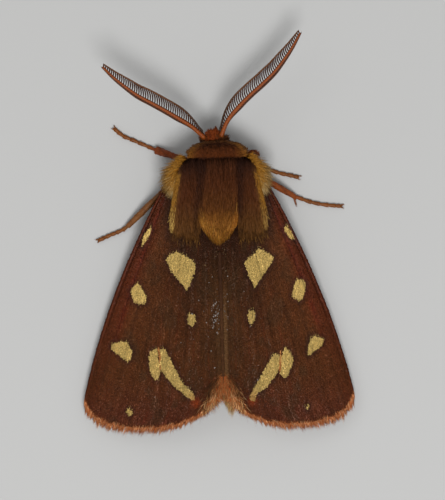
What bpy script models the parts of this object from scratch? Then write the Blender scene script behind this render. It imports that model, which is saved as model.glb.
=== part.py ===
"""A male Patton's tiger moth at rest, life size, seen from above with its head towards +Y.

The floor is z = 0 and the moth stands on its six feet. Every part is modelled in the moth's own
frame, whose Y axis is the line of its body, and hangs on one empty that puts the middle of the
whole outline over the origin. Right is +X. Lists of places are in millimetres.
"""

import math
import random

import bmesh
import bpy
from mathutils import Matrix, Vector

MM = 0.001
GAP = 0.3 * MM  # clear space that neighbouring parts keep
SHORTEST_EDGE = 0.0005 * MM

# The left wings lie a little wider than the right ones, so the body is off the outline's middle.
SPREAD = {"left": 1.035, "right": 0.965}
SIDES = {"left": -1, "right": 1}
AXIS_X = 0.39 * MM
AXIS_Y = 0.11 * MM

# Forewing outline with its fringe, from the root at the thorax to the rounded outer margin.
COSTA_ROOT = Vector((3.6, 4.9)) * MM
COSTA_END = Vector((11.2, -13.7)) * MM
COSTA_BULGE = 0.85 * MM
DORSAL_ROOT = Vector((2.35, 3.8)) * MM
TORNUS = Vector((1.3, -14.2)) * MM
MARGIN_MIDDLE = 6.2 * MM
MARGIN_DEPTH = 2.5 * MM
MIDLINE = GAP / 2
MIDLINE_START = -1.3 * MM
MIDLINE_END = -11.8 * MM
FOREWING_THICK = 0.55 * MM

# Forewing veins: place from costa (0) to inner margin (1), start and end from root to margin.
VEINS = (
    (0.07, 0.0, 0.62), (0.19, 0.0, 1.0), (0.31, 0.5, 1.0), (0.43, 0.5, 1.0),
    (0.55, 0.0, 1.0), (0.67, 0.42, 1.0), (0.79, 0.3, 1.0), (0.91, 0.0, 1.0),
)
CELL_END = 0.5
CELL_SIDES = (0.19, 0.55)
VEIN_HALF_WIDTH = 0.018
VEIN_HIGH = 0.13 * MM
FOREWING_ROWS = 11
HINDWING_VEINS = ((0.2, 0.0, 1.0), (0.45, 0.0, 1.0), (0.7, 0.3, 1.0))
HINDWING_ROWS = 10

# The roof that the closed forewings make: heights of its ridge and of its outer edge.
RIDGE_HIGH = 5.65 * MM
RIDGE_AT = -1.0 * MM
RIDGE_DROP = 1.9 * MM
ROOF_LENGTH = 13.0 * MM
EDGE_LOW = 1.1 * MM
EDGE_RISE = 2.8 * MM
OUTLINE_END = -16.4 * MM
OUTLINE_LENGTH = 22.0 * MM

# Hindwing, folded under the forewing.
HINDWING_THICK = 0.5 * MM
HINDWING_DROP = FOREWING_THICK + GAP + 0.1 * MM
HIND_COSTA = [(2.85, 3.0), (5.4, -1.5), (7.6, -7.0), (8.5, -11.0), (8.3, -13.6)]
HIND_MARGIN = [(8.3, -13.6), (6.6, -15.0), (3.9, -15.1), (2.4, -14.5), (1.3, -13.7)]
HIND_INNER = [(2.85, 1.4), (2.15, -1.0), (1.75, -4.0), (1.65, -8.0), (1.5, -11.5), (1.3, -13.7)]

# Body cores, under the coat.
THORAX_AT = Vector((0.0, 3.1, 3.3)) * MM
THORAX_SIZE = Vector((2.5, 3.3, 2.25)) * MM
BACK_AT = Vector((0.0, 2.9, 4.55)) * MM
BACK_SIZE = Vector((1.25, 2.9, 1.2)) * MM
ABDOMEN_FRONT = 0.5 * MM
ABDOMEN_LENGTH = 13.9 * MM
ABDOMEN_HALF_WIDTH = 2.1 * MM
ABDOMEN_FLATNESS = 0.92
ABDOMEN_HIGH = 2.75 * MM
ABDOMEN_DROOP = 0.8 * MM
ABDOMEN_RINGS = 8
ABDOMEN_SIDES = 12

# Head, turned a little to the moth's left.
HEAD_AT = Vector((-0.2, 7.15, 3.15)) * MM
HEAD_SIZE = Vector((1.05, 1.05, 1.1)) * MM
HEAD_TURN = math.radians(7)
EYE_AT = Vector((0.88, -0.2, -0.45)) * MM
EYE_RADIUS = 0.58 * MM
PALP_ROOT = Vector((0.4, 0.4, -1.1)) * MM
PALP_TIP = Vector((0.32, 1.32, -0.75)) * MM
PALP_RADIUS = 0.27 * MM

# Antennae: even steps along each shaft, and the two rows of comb teeth.
ANTENNAE = {
    "left": [
        (-1.07, 7.73, 3.95), (-1.98, 8.57, 4.39), (-3.01, 9.24, 4.81), (-4.06, 9.88, 5.19),
        (-5.13, 10.5, 5.51), (-6.2, 11.1, 5.76), (-7.2, 11.83, 5.92), (-8.15, 12.62, 6.0),
        (-9.02, 13.5, 6.0),
    ],
    "right": [
        (0.44, 7.81, 3.95), (1.01, 9.01, 4.11), (1.87, 10.02, 4.26), (2.82, 10.94, 4.4),
        (3.83, 11.8, 4.52), (4.81, 12.7, 4.61), (5.66, 13.71, 4.67), (6.44, 14.79, 4.7),
        (7.12, 15.93, 4.7),
    ],
}
ANTENNA_RADIUS = 0.27 * MM
ANTENNA_TIP_RADIUS = 0.17 * MM
ANTENNA_POINTS = 14
COMB_TEETH = 13
COMB_FIRST = 0.07
COMB_LAST = 0.96
COMB_LENGTH = 1.25 * MM
COMB_ROOT_RADIUS = 0.24 * MM
COMB_TIP_RADIUS = 0.09 * MM
COMB_LEAN = math.radians(52)
COMB_FRONT_DROP = math.radians(18)
COMB_REAR_DROP = math.radians(68)

# Coat: a lock's outline is its place along, its width and its thickness, before the point.
LOCK_OUTLINE = ((0.0, 0.8, 1.0), (0.35, 1.0, 1.0), (0.72, 0.7, 0.85))
LOCK_THICK = 0.5 * MM
LOCK_WIDTH = 0.95 * MM
LOCK_SINK = 0.4 * MM
LOCK_SCATTER = 0.04 * MM
COAT_AT = Vector((0.0, 2.5, 3.3)) * MM
COAT_SIZE = Vector((4.3, 5.6, 2.65)) * MM
COAT_OVER_WING = GAP + LOCK_THICK / 2 + VEIN_HIGH + 0.06 * MM
# Locks down the middle of the back: front and back of each tier, then the tuft's root and tip.
BACK_TIERS = ((5.5, 3.1), (4.1, 1.5))
BACK_LOCK_GAP = 0.85
TUFT_LOCKS = 5
TUFT_ROOT = (0.8, 2.4)
TUFT_TIP = (-0.08, -1.15)
TUFT_POINT = 0.75
TEGULA_CORE_AT = Vector((2.4, 3.8, 4.6)) * MM
TEGULA_CORE_SIZE = Vector((0.85, 1.9, 0.4)) * MM
TEGULA_TILT = math.radians(30)
TEGULA_INNER = 1.75 * MM
# Each tier of a flap's locks: front and back along the body, and distances from its middle.
TEGULA_TIERS = (
    (5.4, 3.2, (2.25, 2.85)), (4.3, 1.9, (2.2, 2.85, 3.4)),
    (3.0, 0.6, (2.2, 2.8, 3.4)), (1.7, -1.2, (2.15, 2.7, 3.25)),
)
TEGULA_ROOM_AT = Vector((2.2, 2.6, 5.2)) * MM
TEGULA_ROOM_SIZE = Vector((3.6, 6.0, 3.0)) * MM
TEGULA_ROOM_TURN = math.radians(15)
WALL_HIGH = 12 * MM
WALL_AT = Vector((0, 2, 5)) * MM
SHOULDER_CORE_AT = Vector((2.95, 5.1, 4.0)) * MM
SHOULDER_CORE_SIZE = Vector((0.95, 0.75, 0.7)) * MM
SHOULDER_LOCKS = 7
SHOULDER_ROOT = Vector((3.2, 5.0, 4.2)) * MM
SHOULDER_FRONT = 35  # degrees: where the fan of locks begins, and how far it turns
SHOULDER_FAN = 120
COLLAR_CORE_AT = Vector((0.1, 6.35, 4.2)) * MM
COLLAR_CORE_SIZE = Vector((2.1, 0.85, 0.75)) * MM
COLLAR_LOCKS = 8
COLLAR_SPREAD = math.radians(78)
HEAD_LOCKS = 7
TAIL_LOCKS = 8
TAIL_TIP = Vector((0.15, -14.9, 1.75)) * MM

# Legs, from the root in the thorax to the claws; the foot lies on the floor.
COXA_RADIUS = 0.46 * MM
FEMUR_RADIUS = 0.4 * MM
TIBIA_RADIUS = 0.33 * MM
FOOT_RADIUS = 0.27 * MM
FOOT_HIGH = 0.17 * MM
ANKLE_HIGH = 0.45 * MM
CLAW = 0.38 * MM
SPUR = Vector((0.15, -0.75, -0.2)) * MM
LEGS = {
    "leg_fore_left": dict(
        root=(-0.9, 5.0, 2.2), hip=(-1.35, 5.6, 1.35), knee=(-2.6, 5.9, 2.3), ankle=(-4.95, 6.9),
        foot=[(-5.6, 7.16), (-6.4, 7.56), (-7.2, 7.9), (-7.85, 8.15), (-8.3, 8.55), (-8.55, 8.8)],
        tibia=1.15,
    ),
    "leg_fore_right": dict(
        root=(0.9, 5.0, 2.2), hip=(1.35, 5.6, 1.35), knee=(3.0, 6.25, 2.2), ankle=(3.1, 5.35),
        foot=[(3.6, 5.2), (4.3, 5.0), (5.0, 4.72), (5.6, 4.55), (6.2, 4.42), (6.6, 4.3)],
        tibia=1.15,
    ),
    "leg_mid_left": dict(
        root=(-1.1, 3.5, 2.0), hip=(-1.7, 3.7, 1.15), knee=(-3.55, 4.3, 2.0), ankle=(-6.2, 1.75),
        foot=[(-6.8, 1.25), (-7.56, 0.68), (-8.3, 0.28), (-8.9, 0.0), (-9.5, -0.25), (-9.95, -0.45)],
        tibia=1.0,
    ),
    "leg_mid_right": dict(
        root=(1.1, 3.5, 2.0), hip=(1.7, 3.7, 1.15), knee=(3.3, 4.5, 2.0), ankle=(6.3, 2.72),
        foot=[(7.0, 2.45), (7.7, 2.18), (8.4, 2.0), (9.1, 1.88), (9.7, 1.82), (10.1, 1.78)],
        tibia=1.0,
    ),
    "leg_hind_left": dict(
        root=(-1.1, 1.7, 2.1), hip=(-1.6, 1.0, 1.2), knee=(-3.4, -0.6, 1.9), ankle=(-5.0, -4.6),
        foot=[(-5.3, -5.5), (-5.6, -6.5), (-5.85, -7.5), (-6.1, -8.3), (-6.3, -9.0), (-6.4, -9.5)],
        tibia=1.1,
    ),
    "leg_hind_right": dict(
        root=(1.1, 1.7, 2.1), hip=(1.6, 1.0, 1.2), knee=(3.4, -0.6, 1.9), ankle=(4.8, -4.7),
        foot=[(5.05, -5.6), (5.3, -6.6), (5.5, -7.6), (5.7, -8.4), (5.85, -9.1), (5.9, -9.6)],
        tibia=1.1,
    ),
}

COLOURS = {
    "wing_brown": (0.085, 0.022, 0.010),
    "hindwing_orange": (0.55, 0.22, 0.05),
    "coat_brown": (0.07, 0.024, 0.008),
    "coat_gold": (0.42, 0.22, 0.04),
    "head_rust": (0.20, 0.05, 0.012),
    "antenna_rust": (0.30, 0.07, 0.02),
    "leg_rust": (0.26, 0.085, 0.03),
    "abdomen_orange": (0.45, 0.18, 0.04),
    "eye_black": (0.012, 0.010, 0.008),
}
ROUGHNESS = {"eye_black": 0.2}
UP = Vector((0, 0, 1))


def clear_scene():
    for obj in list(bpy.data.objects):
        bpy.data.objects.remove(obj)


def new_collection(name, hidden=False):
    collection = bpy.data.collections.new(name)
    bpy.context.scene.collection.children.link(collection)
    collection.hide_render = hidden
    return collection


def make_material(name):
    material = bpy.data.materials.new(name)
    material.use_nodes = True
    shader = material.node_tree.nodes["Principled BSDF"]
    shader.inputs["Base Color"].default_value = (*COLOURS[name], 1.0)
    shader.inputs["Roughness"].default_value = ROUGHNESS.get(name, 0.8)
    shader.inputs["Metallic"].default_value = 0.0
    return material


def curve_point(points, t):
    """A point on the smooth curve through these points, with t from 0 to 1."""
    place = min(max(t, 0.0), 1.0) * (len(points) - 1)
    i = min(int(place), len(points) - 2)
    f = place - i
    before = points[max(i - 1, 0)]
    after = points[min(i + 2, len(points) - 1)]
    a, b = points[i], points[i + 1]
    return 0.5 * (
        2 * a + (b - before) * f + (2 * before - 5 * a + 4 * b - after) * f * f
        + (3 * a - before - 3 * b + after) * f ** 3
    )


def object_of(bm, name, collection):
    """Turns a bmesh into an object of this collection, with its faces pointing out."""
    bmesh.ops.recalc_face_normals(bm, faces=bm.faces)
    mesh = bpy.data.meshes.new(name)
    bm.to_mesh(mesh)
    bm.free()
    obj = bpy.data.objects.new(name, mesh)
    collection.objects.link(obj)
    return obj


def join_loops(bm, loops):
    """Faces between rings of points, and a cap on the first ring and on the last."""
    for a, b in zip(loops, loops[1:]):
        for s in range(len(a)):
            n = (s + 1) % len(a)
            bm.faces.new((a[s], a[n], b[n], b[s]))
    bm.faces.new(loops[0])
    bm.faces.new(loops[-1])


def ellipsoid(name, at, size, collection, turn=None, grow=0.0, segments=14, rings=10):
    """A sphere stretched to these half sizes, turned and put at this place."""
    bm = bmesh.new()
    bmesh.ops.create_uvsphere(bm, u_segments=segments, v_segments=rings, radius=1.0)
    bmesh.ops.scale(bm, vec=size + Vector((grow, grow, grow)), verts=bm.verts)
    if turn is not None:
        bmesh.ops.rotate(bm, cent=(0, 0, 0), matrix=turn, verts=bm.verts)
    bmesh.ops.translate(bm, vec=at, verts=bm.verts)
    return object_of(bm, name, collection)


def spike(name, root, tip, root_radius, tip_radius, collection, sides=4):
    """A thin cone from root to tip."""
    bm = bmesh.new()
    along = tip - root
    bmesh.ops.create_cone(
        bm, cap_ends=True, segments=sides, radius1=root_radius, radius2=tip_radius,
        depth=along.length,
    )
    turn = along.to_track_quat("Z", "Y").to_matrix()
    bmesh.ops.rotate(bm, cent=(0, 0, 0), matrix=turn, verts=bm.verts)
    bmesh.ops.translate(bm, vec=(root + tip) / 2, verts=bm.verts)
    return object_of(bm, name, collection)


def tube(name, points, radii, collection):
    """A round bar along these points with a radius at each, from a bevelled curve."""
    data = bpy.data.curves.new(name, "CURVE")
    data.dimensions = "3D"
    data.bevel_depth = 1.0
    data.bevel_resolution = 1
    data.use_fill_caps = True
    spline = data.splines.new("POLY")
    spline.points.add(len(points) - 1)
    for point, place, radius in zip(spline.points, points, radii):
        point.co = (*place, 1.0)
        point.radius = radius
    guide = bpy.data.objects.new(name + "_curve", data)
    collection.objects.link(guide)
    graph = bpy.context.evaluated_depsgraph_get()
    mesh = bpy.data.meshes.new_from_object(guide.evaluated_get(graph))
    bpy.data.objects.remove(guide)
    bm = bmesh.new()
    bm.from_mesh(mesh)
    bpy.data.meshes.remove(mesh)
    bmesh.ops.remove_doubles(bm, verts=bm.verts, dist=1e-4 * MM)
    return object_of(bm, name, collection)


def lock(path, up, width, collection, draw):
    """A flat tuft of hair: a four-sided bar along path(t), t from 0 to 1, that ends in a point."""
    bm = bmesh.new()
    loops = []
    scatter = Vector([draw.uniform(-LOCK_SCATTER, LOCK_SCATTER) for _ in range(3)])
    for t, wide, thick in LOCK_OUTLINE:
        place = path(t) + scatter
        along = (path(t + 0.05) - place).normalized()
        across = along.cross(up).normalized()
        lift = across.cross(along)
        half = across * width * wide / 2
        rise = lift * LOCK_THICK * thick / 2
        loops.append([bm.verts.new(place + offset) for offset in (half, rise, -half, -rise)])
    point = bm.verts.new(path(1.0) + scatter)
    for a, b in zip(loops, loops[1:]):
        for s in range(4):
            bm.faces.new((a[s], a[(s + 1) % 4], b[(s + 1) % 4], b[s]))
    for s in range(4):
        bm.faces.new((loops[-1][s], loops[-1][(s + 1) % 4], point))
    bm.faces.new(loops[0])
    bmesh.ops.triangulate(bm, faces=bm.faces)
    return object_of(bm, "lock", collection)


def bent_lock(root, tip, up, bend, width, collection, draw):
    """A lock that leaves its root towards up and curves over to its tip."""
    middle = root.lerp(tip, 0.5) + up * bend

    def path(t):
        return root * (1 - t) ** 2 + middle * 2 * t * (1 - t) + tip * t * t

    return lock(path, up, width, collection, draw)


def combine(name, pieces, cutters, collection, helpers):
    """Joins closed pieces by one Boolean union, cuts them, and keeps the largest closed surface."""
    first = pieces[0]
    first.name = name
    first.data.name = name
    helpers.objects.unlink(first)
    collection.objects.link(first)
    for operation, others in (("UNION", pieces[1:]), ("DIFFERENCE", cutters)):
        if not others:
            continue
        group = bpy.data.collections.new(name + "_" + operation.lower())
        for other in others:
            group.objects.link(other)
        modifier = first.modifiers.new(operation.lower(), "BOOLEAN")
        modifier.operation = operation
        modifier.operand_type = "COLLECTION"
        modifier.collection = group
        modifier.solver = "MANIFOLD"
        graph = bpy.context.evaluated_depsgraph_get()
        mesh = bpy.data.meshes.new_from_object(first.evaluated_get(graph))
        first.modifiers.clear()
        first.data = mesh
        for other in others:
            bpy.data.objects.remove(other)
        bpy.data.collections.remove(group)
    keep_largest(first)
    return first


def shell_volume(shell):
    """Six times the volume inside one closed surface, given as its points."""
    total = 0.0
    for face in {face for vert in shell for face in vert.link_faces}:
        corners = [loop.vert.co for loop in face.loops]
        for a, b in zip(corners[1:], corners[2:]):
            total += corners[0].dot(a.cross(b))
    return total


def keep_largest(obj):
    """Removes every closed surface but the one with the most volume."""
    bm = bmesh.new()
    bm.from_mesh(obj.data)
    unseen = set(bm.verts)
    shells = []
    while unseen:
        stack = [unseen.pop()]
        shell = set(stack)
        while stack:
            for edge in stack.pop().link_edges:
                for vert in edge.verts:
                    if vert in unseen:
                        unseen.discard(vert)
                        shell.add(vert)
                        stack.append(vert)
        shells.append(shell)
    shells.sort(key=shell_volume)
    loose = [vert for shell in shells[:-1] for vert in shell]
    if loose:
        bmesh.ops.delete(bm, geom=loose, context="VERTS")
    bmesh.ops.dissolve_degenerate(bm, dist=SHORTEST_EDGE, edges=bm.edges)
    bmesh.ops.triangulate(bm, faces=bm.faces)
    bm.to_mesh(obj.data)
    bm.free()


def finish(obj, material, frame):
    """Gives a part its material and smooth shading and hangs it on the moth's frame."""
    obj.data.materials.clear()
    obj.data.materials.append(material)
    obj.data.shade_smooth()
    obj.data.set_sharp_from_angle(angle=math.radians(50))
    obj.parent = frame
    return obj


def costa_x(y):
    """Half width of the closed wings at this distance along the body."""
    t = (COSTA_ROOT.y - y) / (COSTA_ROOT.y - COSTA_END.y)
    return COSTA_ROOT.x + (COSTA_END.x - COSTA_ROOT.x) * t + 4 * COSTA_BULGE * t * (1 - t)


def roof(x, y):
    """Height of the upper face of the closed forewings over the point (x, y), x being positive."""
    if y < RIDGE_AT:
        ridge = RIDGE_HIGH - RIDGE_DROP * ((RIDGE_AT - y) / ROOF_LENGTH) ** 1.4
    else:
        ridge = RIDGE_HIGH - 0.04 / MM * (y - RIDGE_AT) ** 2
    edge = EDGE_LOW + EDGE_RISE * max(0.0, (y - OUTLINE_END) / OUTLINE_LENGTH) ** 3
    q = x / costa_x(max(y, COSTA_END.y))
    return edge + (ridge - edge) * (1 - 0.35 * q - 0.65 * q * q)


def coat_top(x, y):
    """Height of the thorax's coat over (x, y): a dome, kept clear of the wings behind it."""
    inside = 1 - (x / COAT_SIZE.x) ** 2 - ((y - COAT_AT.y) / COAT_SIZE.y) ** 2
    dome = COAT_AT.z + COAT_SIZE.z * math.sqrt(max(0.0, inside))
    return max(dome, roof(abs(x), y) + COAT_OVER_WING)


def margin_point(u):
    """The forewing's outer margin, from the tip at u = 0 to the inner corner at u = 1."""
    angle = math.pi * u
    if angle < math.pi / 2:
        reach, power = COSTA_END.x - MARGIN_MIDDLE, 2 / 2.6
    else:
        reach, power = MARGIN_MIDDLE - TORNUS.x, 2 / 1.7
    across = math.copysign(abs(math.cos(angle)) ** power, math.cos(angle))
    down = abs(math.sin(angle)) ** power
    base = COSTA_END.y + (TORNUS.y - COSTA_END.y) * u
    return Vector((MARGIN_MIDDLE + reach * across, base - MARGIN_DEPTH * down))


def dorsum_point(v):
    """The forewing's inner margin, from the root to the inner corner."""
    y = DORSAL_ROOT.y + (TORNUS.y - DORSAL_ROOT.y) * v
    if y > MIDLINE_START:
        f = (y - MIDLINE_START) / (DORSAL_ROOT.y - MIDLINE_START)
        return Vector((MIDLINE + (DORSAL_ROOT.x - MIDLINE) * f ** 1.15, y))
    if y < MIDLINE_END:
        f = (MIDLINE_END - y) / (MIDLINE_END - TORNUS.y)
        return Vector((MIDLINE + (TORNUS.x - MIDLINE) * f ** 1.7, y))
    return Vector((MIDLINE, y))


def costa_point(v):
    y = COSTA_ROOT.y + (COSTA_END.y - COSTA_ROOT.y) * v
    return Vector((costa_x(y), y))


def patch_point(u, v, costa, dorsum, margin):
    """A point of the patch between four edges; u runs from costa to dorsum, v from root to margin."""
    root = costa(0).lerp(dorsum(0), u)
    straight = root * (1 - v) + margin(u) * v
    corner = costa(0).lerp(margin(0), v) * (1 - u) + dorsum(0).lerp(margin(1), v) * u
    return straight + costa(v) * (1 - u) + dorsum(v) * u - corner


def forewing_point(u, v):
    return patch_point(u, v, costa_point, dorsum_point, margin_point)


def hindwing_point(u, v):
    edges = [[Vector(p) * MM for p in edge] for edge in (HIND_COSTA, HIND_INNER, HIND_MARGIN)]
    return patch_point(
        u, v,
        lambda t: curve_point(edges[0], t),
        lambda t: curve_point(edges[1], t),
        lambda t: curve_point(edges[2], t),
    )


def vein_height(u, v, veins, cell):
    """How far a vein lifts the membrane at this point of the grid."""
    for place, start, end in veins:
        if abs(u - place) < 1e-6 and start - 1e-6 <= v <= end + 1e-6:
            return VEIN_HIGH * (1 - 0.4 * v)
    if cell and abs(v - CELL_END) < 1e-6 and CELL_SIDES[0] <= u <= CELL_SIDES[1]:
        return VEIN_HIGH * 0.8
    return 0.0


def sheet(name, place, veins, rows, cell, drop, thick, side, collection, grow=0.0):
    """A wing: a grid laid on the roof and lowered by drop, with veins, extruded by its thickness."""
    across = {0.0, 1.0}
    for vein in veins:
        across |= {vein[0] - VEIN_HALF_WIDTH, vein[0], vein[0] + VEIN_HALF_WIDTH}
    along = {j / rows for j in range(rows + 1)}
    if cell:
        along |= {CELL_END - VEIN_HALF_WIDTH / 2, CELL_END, CELL_END + VEIN_HALF_WIDTH / 2}
    across, along = sorted(across), sorted(along)
    last_i, last_j = len(across) - 1, len(along) - 1
    bm = bmesh.new()
    bmesh.ops.create_grid(bm, x_segments=last_i, y_segments=last_j, size=1.0)
    for vert in bm.verts:
        i = round((vert.co.x + 1) / 2 * last_i)
        j = round((vert.co.y + 1) / 2 * last_j)
        u, v = across[i], along[j]
        flat = place(u, v)
        if i in (0, last_i):
            flat += (flat - place(abs(u - 0.02), v)).normalized() * grow
        if j in (0, last_j):
            flat += (flat - place(u, abs(v - 0.02))).normalized() * grow
        height = roof(abs(flat.x), flat.y) - drop + vein_height(u, v, veins, cell) + grow
        vert.co = (SIDES[side] * SPREAD[side] * flat.x, flat.y, height)
    bmesh.ops.triangulate(bm, faces=bm.faces)
    made = bmesh.ops.extrude_face_region(bm, geom=bm.faces[:])
    lower = [item for item in made["geom"] if isinstance(item, bmesh.types.BMVert)]
    bmesh.ops.translate(bm, vec=(0, 0, -thick - 2 * grow), verts=lower)
    return object_of(bm, name, collection)


def forewing(side, helpers, grow=0.0):
    return sheet(
        "forewing", forewing_point, VEINS, FOREWING_ROWS, True, 0.0, FOREWING_THICK, side, helpers,
        grow,
    )


def hindwing(side, helpers, grow=0.0):
    return sheet(
        "hindwing", hindwing_point, HINDWING_VEINS, HINDWING_ROWS, False, HINDWING_DROP,
        HINDWING_THICK, side, helpers, grow,
    )


def head_place(point, side):
    """A point given beside the head's middle, for the right side, turned with the head."""
    turned = Matrix.Rotation(HEAD_TURN, 3, "Z") @ Vector((side * point.x, point.y, point.z))
    return HEAD_AT + turned


def eye(side, helpers, grow=0.0):
    size = Vector((1, 1, 1)) * EYE_RADIUS
    return ellipsoid("eye", head_place(EYE_AT, SIDES[side]), size, helpers, grow=grow, rings=8)


def head_core(helpers, grow=0.0):
    return ellipsoid(
        "head", HEAD_AT, HEAD_SIZE, helpers, Matrix.Rotation(HEAD_TURN, 3, "Z"), grow)


def head(helpers, draw):
    """The head's core with a tuft of locks that points forward from the brow."""
    pieces = [head_core(helpers)]
    for k in range(HEAD_LOCKS):
        s = 2 * k / (HEAD_LOCKS - 1) - 1
        low = k % 2
        root = head_place(Vector((0.45 * s, 0.35, 0.55 - 0.2 * low)) * MM, 1)
        tip = head_place(Vector((0.62 * s, 1.5 - 0.55 * s * s, 0.75 - 0.75 * low)) * MM, 1)
        pieces.append(bent_lock(root, tip, UP, 0.2 * MM, 0.6 * MM, helpers, draw))
    return pieces


def palp(side, helpers):
    points = [PALP_ROOT, PALP_ROOT.lerp(PALP_TIP, 0.5) + Vector((0, 0.1, -0.1)) * MM, PALP_TIP]
    places = [head_place(point, SIDES[side]) for point in points]
    return tube("palp", places, [PALP_RADIUS, PALP_RADIUS, PALP_RADIUS * 0.6], helpers)


def antenna_line(side, t):
    """The shaft's place and direction at t, from 0 at the head to 1 at the tip."""
    points = [Vector(point) * MM for point in ANTENNAE[side]]
    ahead, behind = curve_point(points, t + 0.01), curve_point(points, t - 0.01)
    return curve_point(points, t), (ahead - behind).normalized()


def comb_profile(t):
    """Length of the comb's teeth along the shaft: short at the root, falling away to the tip."""
    return (0.45 + 0.55 * min(1.0, t / 0.2)) * (1 - 0.6 * max(0.0, (t - 0.6) / 0.4) ** 1.5)


def antenna(side, helpers):
    """A tapering shaft with a row of teeth in front and a row that hangs down behind."""
    shaft = [i / (ANTENNA_POINTS - 1) for i in range(ANTENNA_POINTS)]
    radii = [ANTENNA_RADIUS + (ANTENNA_TIP_RADIUS - ANTENNA_RADIUS) * t for t in shaft]
    places = [antenna_line(side, t)[0] for t in shaft]
    pieces = [tube("antenna", places, radii, helpers)]
    for k in range(COMB_TEETH):
        t = COMB_FIRST + (COMB_LAST - COMB_FIRST) * k / (COMB_TEETH - 1)
        place, direction = antenna_line(side, t)
        front = UP.cross(direction).normalized() * SIDES[side]
        for drop, reach in ((COMB_FRONT_DROP, 1.0), (COMB_REAR_DROP, 0.75)):
            outward = front * math.cos(drop) - UP * math.sin(drop)
            way = direction * math.cos(COMB_LEAN) + outward * math.sin(COMB_LEAN)
            tip = place + way * COMB_LENGTH * comb_profile(t) * reach
            slim = 1 - 0.3 * t
            pieces.append(spike(
                "tooth", place, tip, COMB_ROOT_RADIUS * slim, COMB_TIP_RADIUS, helpers))
    return pieces


def thorax_core(helpers, grow=0.0):
    return [
        ellipsoid("thorax", THORAX_AT, THORAX_SIZE, helpers, grow=grow),
        ellipsoid("back", BACK_AT, BACK_SIZE, helpers, grow=grow),
    ]


def combed_lock(start, end, width, helpers, draw, rise=0.0):
    """A lock that lies along the thorax's coat from start to end, both (x, y) in millimetres."""
    start, end = Vector(start) * MM, Vector(end) * MM

    def path(t):
        x, y = start.lerp(end, t)
        return Vector((x, y, coat_top(x, y) + rise * t - LOCK_SINK * (1 - t) ** 3))

    middle = start.lerp(end, 0.5)
    step = 0.2 * MM
    slope = (coat_top(middle.x + step, middle.y) - coat_top(middle.x - step, middle.y)) / (2 * step)
    return lock(path, Vector((-slope, 0, 1)).normalized(), width, helpers, draw)


def thorax(helpers, draw):
    """The thorax with the locks down the middle of its back and the tuft over the wings."""
    pieces = thorax_core(helpers)
    for tier, (front, back) in enumerate(BACK_TIERS):
        for s in (-1, 0, 1):
            x = BACK_LOCK_GAP * s
            pieces.append(combed_lock(
                (x, front), (x * 1.05, back + draw.uniform(-0.2, 0.2)), LOCK_WIDTH, helpers, draw,
                rise=0.1 * MM * tier,
            ))
    for k in range(TUFT_LOCKS):
        s = 2 * k / (TUFT_LOCKS - 1) - 1
        start = (TUFT_ROOT[0] * s, TUFT_ROOT[1] - 0.3 * abs(s))
        end = (TUFT_TIP[0] + 0.98 * s, TUFT_TIP[1] + TUFT_POINT * s * s)
        pieces.append(combed_lock(start, end, LOCK_WIDTH * 0.85, helpers, draw, rise=0.05 * MM))
    return pieces


def abdomen(helpers, draw):
    """Rings from the waist to the tail, each wider at its hind edge, and the tuft at the end."""
    bm = bmesh.new()
    loops = []
    steps = ABDOMEN_RINGS * 2
    for k in range(steps + 1):
        t = k / steps * 0.97
        wide = ABDOMEN_HALF_WIDTH * (1 - t ** 3) ** 0.6 * (1.0 if k % 2 else 0.95)
        centre = Vector((0, ABDOMEN_FRONT - ABDOMEN_LENGTH * t, ABDOMEN_HIGH - ABDOMEN_DROOP * t))
        loop = []
        for s in range(ABDOMEN_SIDES):
            angle = 2 * math.pi * s / ABDOMEN_SIDES
            offset = Vector((math.cos(angle), 0, math.sin(angle) * ABDOMEN_FLATNESS)) * wide
            loop.append(bm.verts.new(centre + offset))
        loops.append(loop)
    join_loops(bm, loops)
    pieces = [object_of(bm, "abdomen", helpers)]
    end = Vector((0, ABDOMEN_FRONT - ABDOMEN_LENGTH * 0.93, ABDOMEN_HIGH - ABDOMEN_DROOP))
    for k in range(TAIL_LOCKS):
        angle = 2 * math.pi * k / TAIL_LOCKS
        out = Vector((math.cos(angle), 0, math.sin(angle) * 0.8))
        tip = TAIL_TIP + out * 0.45 * MM + Vector((0, draw.uniform(0, 0.45), 0)) * MM
        pieces.append(bent_lock(
            end + out * 0.42 * MM, tip, out, 0.12 * MM, 0.62 * MM, helpers, draw))
    return pieces


def tegula_core(side, helpers, grow=0.0):
    sign = SIDES[side]
    at = Vector((sign * TEGULA_CORE_AT.x, TEGULA_CORE_AT.y, TEGULA_CORE_AT.z))
    turn = Matrix.Rotation(sign * TEGULA_TILT, 3, "Y")
    return ellipsoid("tegula", at, TEGULA_CORE_SIZE, helpers, turn, grow, 10, 6)


def tegula(side, helpers, draw):
    """The long flap over a wing root: locks in tiers, combed back to ragged tips."""
    sign = SIDES[side]
    pieces = [tegula_core(side, helpers)]
    for tier, (front, back, places) in enumerate(TEGULA_TIERS):
        for x in places:
            end = back + draw.uniform(0.0, 0.35) + 0.25 * (x - 2.7) ** 2
            pieces.append(combed_lock(
                (sign * x, front), (sign * (x + 0.12), end), LOCK_WIDTH, helpers, draw,
                rise=0.04 * MM * tier,
            ))
    return pieces


def inner_wall(side, helpers):
    """A cutter that keeps a flap's locks off the middle of the back."""
    bm = bmesh.new()
    bmesh.ops.create_cube(bm, size=1.0)
    bmesh.ops.scale(bm, vec=Vector((TEGULA_INNER, WALL_HIGH, WALL_HIGH)), verts=bm.verts)
    middle = WALL_AT + Vector((SIDES[side] * TEGULA_INNER / 2, 0, 0))
    bmesh.ops.translate(bm, vec=middle, verts=bm.verts)
    return object_of(bm, "wall", helpers)


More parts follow.
